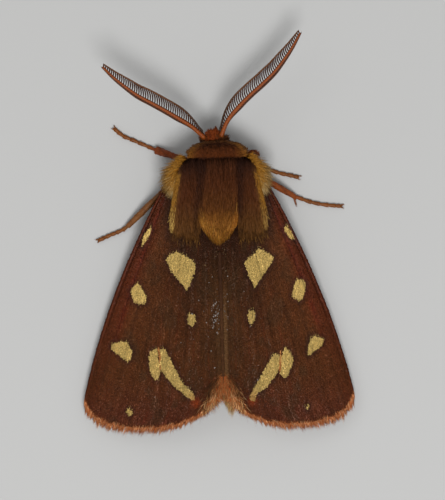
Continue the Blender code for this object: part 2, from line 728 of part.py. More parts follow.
def tegula_room(side, helpers):
    """A cutter round a flap's front, which the shoulder's locks keep clear of."""
    sign = SIDES[side]
    at = Vector((sign * TEGULA_ROOM_AT.x, TEGULA_ROOM_AT.y, TEGULA_ROOM_AT.z))
    turn = Matrix.Rotation(sign * TEGULA_ROOM_TURN, 3, "Z")
    bm = bmesh.new()
    bmesh.ops.create_cube(bm, size=1.0)
    bmesh.ops.scale(bm, vec=TEGULA_ROOM_SIZE, verts=bm.verts)
    bmesh.ops.rotate(bm, cent=(0, 0, 0), matrix=turn, verts=bm.verts)
    bmesh.ops.translate(bm, vec=at, verts=bm.verts)
    return object_of(bm, "room", helpers)


def shoulder_core(side, helpers, grow=0.0):
    sign = SIDES[side]
    at = Vector((sign * SHOULDER_CORE_AT.x, SHOULDER_CORE_AT.y, SHOULDER_CORE_AT.z))
    return ellipsoid("shoulder", at, SHOULDER_CORE_SIZE, helpers, grow=grow, segments=12, rings=8)


def shoulder(side, helpers, draw):
    """Yellow hair in front of a wing root: two layers of locks that fan out and back."""
    sign = SIDES[side]
    pieces = [shoulder_core(side, helpers)]
    for layer in range(2):
        for k in range(SHOULDER_LOCKS):
            s = k / (SHOULDER_LOCKS - 1)
            angle = math.radians(SHOULDER_FRONT - SHOULDER_FAN * s)
            reach = (1.05 + 0.75 * s + draw.uniform(-0.08, 0.08) - 0.2 * layer) * MM
            root = SHOULDER_ROOT + Vector((0, -0.25 * s, -0.4 * layer)) * MM
            root.x *= sign
            out = Vector((sign * math.cos(angle), math.sin(angle), 0))
            tip = root + out * reach + Vector((0, 0, 0.25 - 0.55 * layer)) * MM
            pieces.append(bent_lock(root, tip, UP, 0.2 * MM, 0.7 * MM, helpers, draw))
    return pieces


def collar_core(helpers, grow=0.0):
    return ellipsoid("collar", COLLAR_CORE_AT, COLLAR_CORE_SIZE, helpers, grow=grow)


def collar(helpers, draw):
    """The ruff behind the head: locks that rise from its front rim and lie back to its hind edge."""
    pieces = [collar_core(helpers)]
    for k in range(COLLAR_LOCKS):
        angle = COLLAR_SPREAD * (2 * k / (COLLAR_LOCKS - 1) - 1)
        x, lift = math.sin(angle), math.cos(angle)
        root = COLLAR_CORE_AT + Vector((1.75 * x, 0.6 - 0.35 * x * x, 0.55 * lift - 0.15)) * MM
        tip = COLLAR_CORE_AT + Vector((2.65 * x, -0.2 - 0.15 * abs(x), 1.0 * lift + 0.1)) * MM
        tip += Vector((0, draw.uniform(-0.05, 0.1), 0)) * MM
        up = Vector((x * 0.8, 0.35, lift + 0.2)).normalized()
        pieces.append(bent_lock(root, tip, up, 0.35 * MM, LOCK_WIDTH, helpers, draw))
    for k in range(COLLAR_LOCKS - 2):
        s = 2 * k / (COLLAR_LOCKS - 3) - 1
        root = COLLAR_CORE_AT + Vector((1.5 * s, 0.3, -0.1)) * MM
        tip = COLLAR_CORE_AT + Vector((2.1 * s, 1.1 - 0.75 * s * s, 0.35 - 0.3 * abs(s))) * MM
        pieces.append(bent_lock(root, tip, UP, 0.3 * MM, LOCK_WIDTH * 0.85, helpers, draw))
    return pieces


def leg(name, helpers):
    """Coxa, femur, tibia with its spur and the jointed foot with two claws, for one union."""
    shape = LEGS[name]
    root, hip, knee = (Vector(shape[key]) * MM for key in ("root", "hip", "knee"))
    ankle = Vector((*shape["ankle"], 0)) * MM + UP * ANKLE_HIGH
    foot = [ankle] + [Vector((*place, 0)) * MM + UP * FOOT_HIGH for place in shape["foot"]]
    shin = TIBIA_RADIUS * shape["tibia"]
    slim = FOOT_RADIUS * 0.9
    pieces = [
        tube("coxa", [root, hip], [COXA_RADIUS, COXA_RADIUS * 0.85], helpers),
        tube("femur", [hip, hip.lerp(knee, 0.5), knee], [FEMUR_RADIUS * 0.85, FEMUR_RADIUS, shin],
             helpers),
        tube("tibia", [knee, knee.lerp(ankle, 0.6), ankle], [shin * 0.9, shin, shin * 0.85], helpers),
        tube("foot", foot, [FOOT_RADIUS, slim, FOOT_RADIUS, slim, FOOT_RADIUS, slim, slim], helpers),
    ]
    for at, radius in ((hip, COXA_RADIUS * 0.95), (knee, shin * 1.12), (ankle, shin * 0.95)):
        size = Vector((radius, radius, radius))
        pieces.append(ellipsoid("joint", at, size, helpers, segments=8, rings=4))
    way = (foot[-1] - foot[-2]).normalized()
    for turn in (-0.5, 0.5):
        out = Matrix.Rotation(turn, 3, "Z") @ way
        pieces.append(spike("claw", foot[-1] - way * 0.1 * MM, foot[-1] + out * CLAW,
                            slim * 0.6, 0.04 * MM, helpers))
    if name != "leg_fore_left" and name != "leg_fore_right":
        side = math.copysign(1, ankle.x)
        tip = ankle + Vector((side * SPUR.x, SPUR.y, SPUR.z))
        pieces.append(spike("spur", ankle, tip, 0.2 * MM, 0.05 * MM, helpers))
    return pieces


def stand_on_floor(obj):
    """Flattens what would sink below the floor, so that each foot rests on a small flat."""
    for vert in obj.data.vertices:
        vert.co.z = max(vert.co.z, 0.0)


def build():
    clear_scene()
    parts = new_collection("tiger_moth")
    helpers = new_collection("cutters", hidden=True)
    materials = {name: make_material(name) for name in COLOURS}
    frame = bpy.data.objects.new("moth_frame", None)
    parts.objects.link(frame)
    frame.location = (AXIS_X, AXIS_Y, 0)
    draw = random.Random(5)

    def add(name, pieces, cutters, material):
        return finish(combine(name, pieces, cutters, parts, helpers), materials[material], frame)

    def wings(grow):
        return [wing(side, helpers, grow) for side in SIDES for wing in (forewing, hindwing)]

    def near_head(grow):
        return [head_core(helpers, grow)] + [eye(side, helpers, grow) for side in SIDES]

    add("head", head(helpers, draw), [eye(side, helpers, GAP) for side in SIDES], "head_rust")
    add("thorax", thorax(helpers, draw), [head_core(helpers, GAP)] + wings(GAP), "coat_brown")
    add("abdomen", abdomen(helpers, draw), thorax_core(helpers, GAP) + wings(GAP), "abdomen_orange")
    add("collar", collar(helpers, draw), near_head(GAP) + thorax_core(helpers, GAP), "coat_brown")
    for side in SIDES:
        add("eye_" + side, [eye(side, helpers)], [], "eye_black")
        add("palp_" + side, [palp(side, helpers)], [head_core(helpers, GAP)], "head_rust")
        add("antenna_" + side, antenna(side, helpers), near_head(GAP), "antenna_rust")
        add("forewing_" + side, [forewing(side, helpers)], [], "wing_brown")
        add("hindwing_" + side, [hindwing(side, helpers)], [], "hindwing_orange")
        add("tegula_" + side, tegula(side, helpers, draw),
            thorax_core(helpers, GAP) + wings(GAP) + [inner_wall(side, helpers)], "coat_brown")
        add("shoulder_" + side, shoulder(side, helpers, draw),
            thorax_core(helpers, GAP) + wings(GAP)
            + [tegula_room(side, helpers), collar_core(helpers, GAP)], "coat_gold")
    for name in LEGS:
        stand_on_floor(add(name, leg(name, helpers), thorax_core(helpers, GAP), "leg_rust"))


build()
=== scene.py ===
# %% [markdown]
# # A tiger moth at rest
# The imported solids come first. They say how big the moth is and where each part lies, and they
# stay where they are. Every piece made below is a finer, coloured stand-in for one of them.

# %% Load the frame
import math

import bpy
import numpy as np
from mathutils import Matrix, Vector


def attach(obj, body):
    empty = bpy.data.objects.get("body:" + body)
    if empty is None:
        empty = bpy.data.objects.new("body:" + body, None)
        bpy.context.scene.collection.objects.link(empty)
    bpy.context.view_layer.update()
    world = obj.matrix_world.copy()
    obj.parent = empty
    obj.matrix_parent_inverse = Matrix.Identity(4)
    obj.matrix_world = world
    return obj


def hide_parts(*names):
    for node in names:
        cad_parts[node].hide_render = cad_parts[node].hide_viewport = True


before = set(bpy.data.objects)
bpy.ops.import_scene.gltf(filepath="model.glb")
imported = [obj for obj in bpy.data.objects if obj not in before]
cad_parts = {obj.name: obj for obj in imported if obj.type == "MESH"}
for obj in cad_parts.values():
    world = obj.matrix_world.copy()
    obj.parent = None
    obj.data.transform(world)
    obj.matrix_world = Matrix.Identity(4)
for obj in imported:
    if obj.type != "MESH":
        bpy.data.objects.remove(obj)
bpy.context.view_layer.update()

# %% [markdown]
# ## Measures
# The moth is modelled in its own frame: its body is the line x = 0, its head points along +y and
# everything is in millimetres. One function puts a point into the room, in metres. The left wings
# of this moth lie a little wider than the right ones, so each side has its own spread.

# %% The moth's own frame
MM = 0.001
AXIS = (0.39, 0.11)
SIDES = {"left": -1.0, "right": 1.0}
SPREAD = {"left": 1.035, "right": 0.965}
UP = np.array([0.0, 0.0, 1.0])


def to_room(points):
    """Millimetres in the moth's frame to metres in the room."""
    return (np.asarray(points, dtype=float) + np.array([AXIS[0], AXIS[1], 0.0])) * MM


def stack(*columns):
    """Puts x, y and z, or u and v, side by side for each point."""
    return np.stack(np.broadcast_arrays(*columns), axis=-1)


def unit(vectors):
    return vectors / np.maximum(np.linalg.norm(vectors, axis=-1, keepdims=True), 1e-9)


def step(low, high, value):
    """Eases from 0 to 1 as value goes from low to high."""
    t = np.clip((value - low) / (high - low), 0.0, 1.0)
    return t * t * (3 - 2 * t)

# %% [markdown]
# ## Colours
# Colours are picked as sRGB hex values. Blender works with linear light, so one function
# turns them. A moth's colour sits in its scales and hairs, each a little different from the next,
# so most pieces carry their colour in an attribute called tint, which is mixed here.

# %% Hex to linear light, and mixing
def linear(code):
    parts = np.array([int(code[i:i + 2], 16) / 255 for i in (1, 3, 5)])
    return np.where(parts <= 0.04045, parts / 12.92, ((parts + 0.055) / 1.055) ** 2.4)


def mix(a, b, amount):
    """Blends two colours, codes or lists of colours, by an amount for each point."""
    a, b = (linear(colour) if isinstance(colour, str) else colour for colour in (a, b))
    amount = np.asarray(amount)[..., None]
    return a * (1 - amount) + b * amount


def ripple(value, seed, count=5):
    """A smooth random line: a few sine waves of rising pitch, about -1 to 1."""
    rng = np.random.default_rng(seed)
    total = np.zeros(np.shape(value))
    for k in range(1, count + 1):
        total = total + np.sin(value * k * rng.uniform(0.7, 1.3) + rng.uniform(0, 6.28)) / k ** 0.5
    return total / count ** 0.5


CHOCOLATE = linear("#5f3418")
BROWN_RED = linear("#682210")
BROWN_GREY = linear("#553a20")
BASE_DARK = linear("#3e2414")
STRAW = linear("#d2b167")
HALO = linear("#36201a")
print("wing brown in linear light", CHOCOLATE.round(3))

# %% [markdown]
# ## Camera, light and floor
# The photograph looks straight down with a long lens, and the moth's head leans a little to the
# left in it. So the camera looks down and is rolled, and the light is broad and soft, like a
# flash through a diffuser. The floor is plain and pale.

# %% Camera
LENS = 180.0
SENSOR = 36.0
VIEW_HEIGHT = 500 / 12.0
ROLL = math.radians(-1.7)
VIEW_MIDDLE = (0.245, -1.591)
camera_high = VIEW_HEIGHT / SENSOR * LENS
bpy.ops.object.camera_add(
    location=to_room([VIEW_MIDDLE[0], VIEW_MIDDLE[1], camera_high]), rotation=(0, 0, ROLL))
camera = bpy.context.object
camera.data.lens = LENS
camera.data.sensor_width = SENSOR
camera.data.clip_start = 0.001
camera.data.clip_end = 10.0
bpy.context.scene.camera = camera
bpy.context.scene.view_settings.view_transform = "Standard"
print("camera", round(camera_high, 1), "mm above the floor")

# %% Lights
def soft_light(name, place, size, power):
    """A square lamp that faces the moth."""
    bpy.ops.object.light_add(type="AREA", location=place)
    lamp = bpy.context.object
    lamp.name = name
    lamp.data.size = size
    lamp.data.energy = power
    lamp.rotation_euler = (-Vector(place)).to_track_quat("-Z", "Y").to_euler()
    return lamp


soft_light("key_lamp", (0.02, -0.11, 0.30), 0.11, 0.87)
soft_light("fill_lamp", (-0.16, 0.10, 0.28), 0.2, 0.14)
world = bpy.data.worlds.new("soft_room")
world.use_nodes = True
world.node_tree.nodes["Background"].inputs["Color"].default_value = (1.0, 1.0, 1.0, 1.0)
world.node_tree.nodes["Background"].inputs["Strength"].default_value = 0.4
bpy.context.scene.world = world
print("lamps", [lamp.name for lamp in bpy.data.lights])

# %% [markdown]
# ## Material helpers
# Every finish below is a Principled shader with a few nodes before it. One function adds a node
# with its settings and its links, so that a material reads from top to bottom.

# %% One function for every node
def add_node(tree, kind, inputs=None, **settings):
    node = tree.nodes.new(kind)
    for name, value in settings.items():
        setattr(node, name, value)
    for socket, value in (inputs or {}).items():
        if isinstance(value, bpy.types.NodeSocket):
            tree.links.new(value, node.inputs[socket])
        else:
            node.inputs[socket].default_value = value
    return node


def new_material(name, **sockets):
    """A material whose Principled shader has these plain values."""
    material = bpy.data.materials.new(name)
    material.use_nodes = True
    tree = material.node_tree
    shader = tree.nodes["Principled BSDF"]
    for socket, value in sockets.items():
        shader.inputs[socket.replace("_", " ")].default_value = value
    return material, tree, shader

# %% A finish that reads the tint
def tinted_material(name, grain, bump, **sockets):
    """Colour from the piece's tint attribute, broken up by a fine noise, with a fine bump."""
    material, tree, shader = new_material(name, **sockets)
    tint = add_node(tree, "ShaderNodeAttribute", attribute_name="tint")
    place = add_node(tree, "ShaderNodeTexCoord")
    noise = add_node(tree, "ShaderNodeTexNoise", {
        "Vector": place.outputs["Object"], "Scale": 1 / (grain * MM), "Detail": 3.0})
    shade = add_node(tree, "ShaderNodeMapRange", {
        "Value": noise.outputs["Fac"], "From Min": 0.3, "From Max": 0.7, "To Min": 0.8, "To Max": 1.2})
    colour = add_node(tree, "ShaderNodeVectorMath", {
        0: tint.outputs["Color"], "Scale": shade.outputs["Result"]}, operation="SCALE")
    tree.links.new(colour.outputs["Vector"], shader.inputs["Base Color"])
    relief = add_node(tree, "ShaderNodeBump", {
        "Height": noise.outputs["Fac"], "Strength": 0.5, "Distance": bump * MM})
    tree.links.new(relief.outputs["Normal"], shader.inputs["Normal"])
    return material

# %% Five finishes of chitin
# Wing scales are thin plates of chitin with fine ribs: dull, with a faint silk when lit low.
wing_scale = tinted_material("wing_scale_chitin", 0.05, 0.01, Roughness=0.6, Specular_IOR_Level=0.08)
# The membrane under the scales is the same chitin as a smooth film, a little glossier.
wing_film = tinted_material("wing_film_chitin", 0.12, 0.01, Roughness=0.5, Specular_IOR_Level=0.2)
# Hair on the body is long split scales: soft, with a light edge like fur.
body_hair = tinted_material("body_hair_chitin", 0.1, 0.01, Roughness=0.55, Specular_IOR_Level=0.1)
body_skin_finish = tinted_material("body_skin_chitin", 0.15, 0.03, Roughness=0.7, Specular_IOR_Level=0.1)
# The shaft of an antenna and the legs are hard cuticle, with a low shine like a dry seed.
cuticle = tinted_material("hard_cuticle_chitin", 0.08, 0.012, Roughness=0.42, Specular_IOR_Level=0.18)

print("finishes", [material.name for material in bpy.data.materials])

# %% Floor
floor_paint, floor_tree, floor_shader = new_material("plain_pale_floor", Roughness=0.9)
floor_shader.inputs["Base Color"].default_value = (*linear("#b0b0af"), 1.0)
FLOOR_SIZE = 1.2
bpy.ops.mesh.primitive_plane_add(size=FLOOR_SIZE, location=(0, 0, 0))
floor = bpy.context.object
floor.name = "floor"
floor.data.materials.append(floor_paint)
print("floor", FLOOR_SIZE, "m square")

# %% [markdown]
# ## Pieces made of many small things
# A wing has tens of thousands of scales and the body as many hairs. Objects or particles for each
# would be slow and would not export, so they are built as one joined mesh: a small shape is
# repeated by array arithmetic, and each copy has its own place, size, direction and colour. Each
# copy also gets a small patch of the OFBake map, at its root's place on an unwrap of the surface.

# %% Joined meshes
PATCH = 0.003


def on_map(u, v):
    """A place on the OFBake map, kept in from its edges."""
    return stack(0.02 + 0.96 * u, 0.02 + 0.96 * v)


def joined_mesh(name, points, triangles, tints, patches, material):
    """One mesh object from arrays, in millimetres, with its tint and its OFBake map."""
    mesh = bpy.data.meshes.new(name)
    mesh.vertices.add(len(points))
    mesh.vertices.foreach_set("co", to_room(points).astype(np.float32).ravel())
    mesh.loops.add(triangles.size)
    mesh.loops.foreach_set("vertex_index", triangles.astype(np.int32).ravel())
    mesh.polygons.add(len(triangles))
    mesh.polygons.foreach_set("loop_start", np.arange(0, triangles.size, 3, dtype=np.int32))
    mesh.polygons.foreach_set("use_smooth", np.ones(len(triangles), dtype=bool))
    mesh.update(calc_edges=True)
    set_tint(mesh, tints)
    layer = mesh.uv_layers.new(name="OFBake")
    layer.data.foreach_set("uv", patches[triangles.ravel()].astype(np.float32).ravel())
    mesh.materials.append(material)
    piece = bpy.data.objects.new(name, mesh)
    bpy.context.scene.collection.objects.link(piece)
    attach(piece, "root")
    print(name, len(triangles), "triangles")


def set_tint(mesh, tints):
    """Stores a linear colour for every point of a mesh."""
    colours = np.ones((len(mesh.vertices), 4), dtype=np.float32)
    colours[:, :3] = np.clip(tints, 0, 1)
    layer = mesh.attributes.new("tint", "FLOAT_COLOR", "POINT")
    layer.data.foreach_set("color", colours.ravel())

# %% Scales
# A scale: root, tip and two sides, as (along, across, up). The sides stand above the line from
# root to tip, so four faces close it.
SCALE_POINTS = np.array([(0.0, 0.0, 0.0), (1.0, 0.0, 0.0), (0.58, 0.5, 1.0), (0.58, -0.5, 1.0)])
SCALE_FACES = np.array([(0, 3, 2), (1, 2, 3), (0, 2, 1), (0, 1, 3)])


def scales(name, roots, along, up, sizes, tints, unwrap):
    """Flat overlapping scales: sizes are (length, width, thickness) for each."""
    across = unit(np.cross(up, along))
    shape = SCALE_POINTS[None] * sizes[:, None, :]
    points = (
        roots[:, None] + shape[..., :1] * along[:, None] + shape[..., 1:2] * across[:, None]
        + shape[..., 2:] * up[:, None]
    )
    count = len(SCALE_POINTS)
    faces = SCALE_FACES[None] + count * np.arange(len(roots))[:, None, None]
    patch = unwrap[:, None] + (SCALE_POINTS[None, :, :2] - (0.5, 0.0)) * PATCH
    joined_mesh(
        name, points.reshape(-1, 3), faces.reshape(-1, 3), np.repeat(tints, count, axis=0),
        patch.reshape(-1, 2), wing_scale)

# %% Hairs
def blades(name, paths, up, widths, root_tints, tip_tints, unwrap, material=body_hair):
    """Tapered hairs, each a three-sided bar along its path: paths are (hair, ring, xyz)."""
    hairs, rings = paths.shape[0], paths.shape[1] - 1
    up, root_tints, tip_tints = (np.broadcast_to(a, (hairs, 3)) for a in (up, root_tints, tip_tints))
    widths = np.broadcast_to(widths, hairs)
    along = unit(np.gradient(paths, axis=1))[:, :-1]
    across = unit(np.cross(up[:, None], along))
    lift = np.cross(along, across)
    taper = np.linspace(0, 1, rings, endpoint=False)
    half = widths[:, None] * (0.55 + 1.6 * taper * (1 - taper) - 0.2 * taper)[None]
    ring = np.stack([
        paths[:, :-1] - across * half[..., None],
        paths[:, :-1] + across * half[..., None],
        paths[:, :-1] + lift * half[..., None],
    ], axis=2)
    points = np.concatenate([ring.reshape(hairs, rings * 3, 3), paths[:, -1:]], axis=1)
    faces = [(0, 2, 1)]
    for r in range(rings - 1):
        for s in range(3):
            a, b = 3 * r + s, 3 * r + (s + 1) % 3
            faces += [(a, b, b + 3), (a, b + 3, a + 3)]
    last = 3 * (rings - 1)
    faces += [(last + s, last + (s + 1) % 3, 3 * rings) for s in range(3)]
    count = 3 * rings + 1
    faces = np.array(faces)[None] + count * np.arange(hairs)[:, None, None]
    place = np.append(np.repeat(taper, 3), 1.0)
    share = place[None, :, None]
    tints = root_tints[:, None] * (1 - share) + tip_tints[:, None] * share
    sideways = np.append(np.tile([-0.5, 0.5, 0.0], rings), 0.0)
    patch = unwrap[:, None] + stack(sideways, place - 0.5)[None] * PATCH
    joined_mesh(
        name, points.reshape(-1, 3), faces.reshape(-1, 3), tints.reshape(-1, 3),
        patch.reshape(-1, 2), material)


def arcs(roots, along, up, lengths, lift):
    """Paths that leave their roots at an angle and bend over to lie along the coat."""
    t = np.linspace(0, 1, 3)[None, :, None]
    up = np.broadcast_to(up, roots.shape)[:, None]
    lengths, rise = (np.broadcast_to(a, len(roots))[:, None, None] for a in (lengths, lift))
    return roots[:, None] + lengths * (along[:, None] * t + up * rise * (t - 0.6 * t * t))

# %% [markdown]
# ## The shape of the wings
# At rest the forewings close over the body like a low roof. The outline is four curves: the front
# edge, the inner edge, the short root and the rounded outer margin. A patch between them gives
# every point of the wing by two numbers: u from front edge to inner edge, v from root to margin.
# Veins run along lines of equal u, so scales and streaks can follow them.

# %% Wing outlines, in millimetres
COSTA_ROOT = (3.6, 4.9)
COSTA_END = (11.2, -13.7)
COSTA_BULGE = 0.85
DORSAL_ROOT = (2.35, 3.8)
TORNUS = (1.3, -14.2)
MARGIN_MIDDLE = 6.2
MARGIN_DEPTH = 2.5
MIDLINE = 0.015
MIDLINE_START = -1.3
MIDLINE_END = -11.8
RIDGE_HIGH = 5.65
RIDGE_AT = -1.0
RIDGE_DROP = 1.9
ROOF_LENGTH = 13.0
EDGE_LOW = 1.1
EDGE_RISE = 2.8
OUTLINE_END = -16.4
OUTLINE_LENGTH = 22.0
HINDWING_DROP = 0.95
HIND_COSTA = [(2.85, 3.0), (5.4, -1.5), (7.6, -7.0), (8.5, -11.0), (8.3, -13.6)]
HIND_MARGIN = [(8.3, -13.6), (6.6, -15.0), (3.9, -15.1), (2.4, -14.5), (1.3, -13.7)]
HIND_INNER = [(2.85, 1.4), (2.15, -1.0), (1.75, -4.0), (1.65, -8.0), (1.5, -11.5), (1.3, -13.7)]
VEINS = (
    (0.07, 0.0, 0.62), (0.19, 0.0, 1.0), (0.31, 0.5, 1.0), (0.43, 0.5, 1.0),
    (0.55, 0.0, 1.0), (0.67, 0.42, 1.0), (0.79, 0.3, 1.0), (0.91, 0.0, 1.0),
)
VEIN_HIGH = 0.07
COSTA_HIGH = 0.16
CREASE_DEEP = 0.08
HINDWING_VEINS = (
    (0.08, 0.0, 1.0), (0.2, 0.0, 1.0), (0.33, 0.45, 1.0), (0.45, 0.0, 1.0), (0.57, 0.4, 1.0),
    (0.7, 0.3, 1.0), (0.86, 0.0, 1.0),
)

# %% Roof and edges of the closed wings
def costa_x(y):
    """Half width of the closed wings at this distance along the body."""
    t = (COSTA_ROOT[1] - y) / (COSTA_ROOT[1] - COSTA_END[1])
    return COSTA_ROOT[0] + (COSTA_END[0] - COSTA_ROOT[0]) * t + 4 * COSTA_BULGE * t * (1 - t)


def roof(x, y):
    """Height of the closed forewings over (x, y), x being positive."""
    behind = np.clip(RIDGE_AT - y, 0, None) / ROOF_LENGTH
    before = np.clip(y - RIDGE_AT, 0, None)
    ridge = RIDGE_HIGH - RIDGE_DROP * behind ** 1.4 - 0.04 * before ** 2
    edge = EDGE_LOW + EDGE_RISE * np.clip((y - OUTLINE_END) / OUTLINE_LENGTH, 0, None) ** 3
    q = x / costa_x(np.maximum(y, COSTA_END[1]))
    return edge + (ridge - edge) * (1 - 0.35 * q - 0.65 * q * q)


def costa_point(v):
    y = COSTA_ROOT[1] + (COSTA_END[1] - COSTA_ROOT[1]) * v
    return stack(costa_x(y), y)


def dorsum_point(v):
    y = DORSAL_ROOT[1] + (TORNUS[1] - DORSAL_ROOT[1]) * v
    front = np.clip((y - MIDLINE_START) / (DORSAL_ROOT[1] - MIDLINE_START), 0, 1)
    back = np.clip((MIDLINE_END - y) / (MIDLINE_END - TORNUS[1]), 0, 1)
    x = MIDLINE + (DORSAL_ROOT[0] - MIDLINE) * front ** 1.15 + (TORNUS[0] - MIDLINE) * back ** 1.7
    return stack(x, y)


def margin_point(u):
    angle = math.pi * np.asarray(u, dtype=float)
    outer = angle < math.pi / 2
    reach = np.where(outer, COSTA_END[0] - MARGIN_MIDDLE, MARGIN_MIDDLE - TORNUS[0])
    power = np.where(outer, 2 / 2.6, 2 / 1.7)
    across = np.sign(np.cos(angle)) * np.abs(np.cos(angle)) ** power
    down = np.abs(np.sin(angle)) ** power
    base = COSTA_END[1] + (TORNUS[1] - COSTA_END[1]) * u
    return stack(MARGIN_MIDDLE + reach * across, base - MARGIN_DEPTH * down)

# %% Any point of a wing
def curve_through(points):
    """A smooth curve through these points, as a function of t from 0 to 1."""
    points = np.array(points)
    ends = np.vstack([points[:1], points, points[-1:]])

    def at(t):
        place = np.clip(t, 0, 1) * (len(points) - 1)
        i = np.minimum(place.astype(int), len(points) - 2)
        f = (place - i)[..., None]
        p0, p1, p2, p3 = (ends[i + k] for k in range(4))
        return 0.5 * (
            2 * p1 + (p2 - p0) * f + (2 * p0 - 5 * p1 + 4 * p2 - p3) * f ** 2
            + (3 * p1 - p0 - 3 * p2 + p3) * f ** 3)

    return at


def patch_point(u, v, costa, dorsum, margin):
    """A point between the four edges, for arrays u and v."""
    u, v = np.asarray(u, dtype=float), np.asarray(v, dtype=float)
    a, b = costa(np.zeros(1)), dorsum(np.zeros(1))
    c, d = margin(np.zeros(1)), margin(np.ones(1))
    u1, v1 = u[..., None], v[..., None]
    sides = costa(v) * (1 - u1) + dorsum(v) * u1
    ends = (a * (1 - u1) + b * u1) * (1 - v1) + margin(u) * v1
    corners = (a * (1 - v1) + c * v1) * (1 - u1) + (b * (1 - v1) + d * v1) * u1
    return sides + ends - corners


def forewing_xy(u, v):
    return patch_point(u, v, costa_point, dorsum_point, margin_point)


def hindwing_xy(u, v):
    return patch_point(
        u, v, curve_through(HIND_COSTA), curve_through(HIND_INNER), curve_through(HIND_MARGIN))

# %% Veins
def vein_nearness(u, v, veins, half=0.016):
    """1 on a vein's line and falling to 0 beside it."""
    near = np.zeros(np.shape(u))
    for place, start, end in veins:
        on = step(start - 0.02, start + 0.02, v) * (1 - step(end - 0.01, end + 0.04, v))
        near = np.maximum(near, on * np.exp(-((u - place) / half) ** 2))
    return near


def wing_relief(wing, u, v):
    """How far veins and the thick front edge lift a wing's surface, in millimetres."""
    veins = VEINS if wing == "forewing" else HINDWING_VEINS
    lift = VEIN_HIGH * vein_nearness(u, v, veins) * (1 - 0.4 * v)
    bar = COSTA_HIGH * np.exp(-((u - 0.02) / 0.018) ** 2) * (1 - 0.6 * v)
    crease = CREASE_DEEP * np.exp(-((u - 0.05) / 0.012) ** 2) * (1 - step(0.6, 0.95, v))
    return lift + bar - crease

# %% Wings in the moth's frame
def wing_place(wing, side, u, v, height=0.0):
    """Points of a wing's upper face in the moth's frame, raised by height."""
    xy, drop = (forewing_xy(u, v), 0.0) if wing == "forewing" else (hindwing_xy(u, v), HINDWING_DROP)
    x, y = xy[..., 0], xy[..., 1]
    z = roof(np.abs(x), y) - drop + height
    return stack(SIDES[side] * SPREAD[side] * x, y, z)


def wing_frame(wing, side, u, v):
    """Place, direction towards the margin and normal at each point of a wing."""
    small = 0.004
    place = wing_place(wing, side, u, v)
    along = unit(wing_place(wing, side, u, v + small) - wing_place(wing, side, u, v - small))
    across = wing_place(wing, side, u + small, v) - wing_place(wing, side, u - small, v)
    normal = unit(np.cross(along, across))
    normal *= np.sign(normal[..., 2:])
    return place, along, normal


print("forewing", round(float(costa_x(COSTA_END[1])), 1), "mm from the midline to its tip")

# %% [markdown]
# ## The markings
# The pale spots are what one knows this moth by. Each is an outline in millimetres: distance from
# the body's line, and distance along it. The two wings are not exact mirror images, so each has
# its own set. Scales and membrane ask the same function for their colour, so they always agree.

# %% Spot outlines of the forewings
SPOTS = {
    "left": {
        "cell": [(4.4, -2.1), (3.9, -1.7), (3.5, -1.5), (2.9, -1.8), (2.0, -2.5), (2.0, -3.0),
                 (2.5, -4.3), (2.8, -4.7), (3.6, -3.6), (4.0, -3.1)],
        "front_edge": [(6.3, -0.5), (6.1, 0.0), (5.6, 0.6), (5.6, 0.1), (5.8, -0.3), (6.4, -1.1)],
        "outer": [(7.4, -4.6), (7.0, -4.2), (6.8, -4.0), (6.3, -4.8), (6.1, -5.2), (6.2, -5.7),
                  (6.8, -5.8), (7.2, -5.5)],
        "inner": [(2.8, -7.0), (2.6, -6.6), (2.2, -6.7), (2.1, -7.1), (2.3, -7.6), (2.5, -7.6),
                  (2.7, -7.4)],
        "tip": [(9.2, -9.1), (8.8, -8.9), (7.9, -8.8), (7.6, -9.2), (7.4, -9.7), (7.6, -10.3),
                (7.8, -10.5), (8.35, -10.1), (8.8, -9.75), (9.15, -9.35)],
        "lobe": [(6.1, -10.2), (5.9, -9.7), (5.5, -9.4), (5.3, -9.5), (5.3, -10.1), (5.2, -10.9),
                 (5.1, -11.3), (5.4, -12.1), (5.8, -11.8), (6.0, -11.3)],
        "band": [(5.2, -9.5), (4.8, -9.4), (4.5, -9.8), (4.2, -10.5), (3.5, -12.0), (3.1, -12.6),
                 (2.5, -13.1), (2.3, -13.8), (2.8, -13.6), (4.1, -12.5), (4.9, -11.5),
                 (5.2, -10.9), (5.2, -10.1)],
        "margin": [(8.1, -14.6), (7.8, -14.3), (7.7, -14.4), (7.5, -14.7), (7.8, -15.0)],
    },
    "right": {
        "cell": [(2.0, -2.6), (2.5, -2.1), (2.9, -1.8), (3.2, -1.4), (3.8, -1.8), (4.4, -2.3),
                 (4.2, -2.7), (3.4, -3.8), (3.0, -4.4), (2.8, -4.7), (2.3, -3.6)],
        "front_edge": [(5.4, 0.2), (5.6, 0.4), (6.0, -0.3), (6.2, -0.9), (5.8, -0.7), (5.4, -0.1)],
        "outer": [(6.2, -4.2), (6.6, -4.1), (7.0, -4.4), (6.9, -5.1), (6.7, -5.7), (6.4, -5.9),
                  (5.8, -5.5), (6.0, -4.7)],
        "inner": [(2.1, -6.9), (2.3, -6.5), (2.6, -6.5), (2.8, -6.8), (2.7, -7.3), (2.4, -7.7),
                  (2.2, -7.4)],
        "tip": [(7.2, -9.0), (7.7, -8.8), (8.4, -9.1), (8.2, -9.6), (7.4, -10.2), (7.1, -10.4),
                (7.0, -10.0), (7.1, -9.5)],
        "lobe": [(4.9, -10.1), (5.2, -9.6), (5.5, -10.0), (5.8, -10.5), (5.7, -11.1),
                 (5.4, -11.8), (5.1, -12.2), (4.7, -11.9), (4.6, -11.6), (4.7, -10.7)],
        "band": [(4.6, -10.2), (4.8, -10.6), (4.7, -11.1), (4.5, -11.6), (3.9, -12.4),
                 (3.5, -12.9), (2.8, -13.3), (2.5, -13.9), (2.1, -13.9), (2.1, -13.5),
                 (2.9, -12.2), (3.4, -11.4), (3.8, -10.7), (4.2, -10.1)],
        "margin": [(6.7, -14.6), (6.9, -14.4), (7.0, -14.6), (6.8, -14.9)],
    },
}


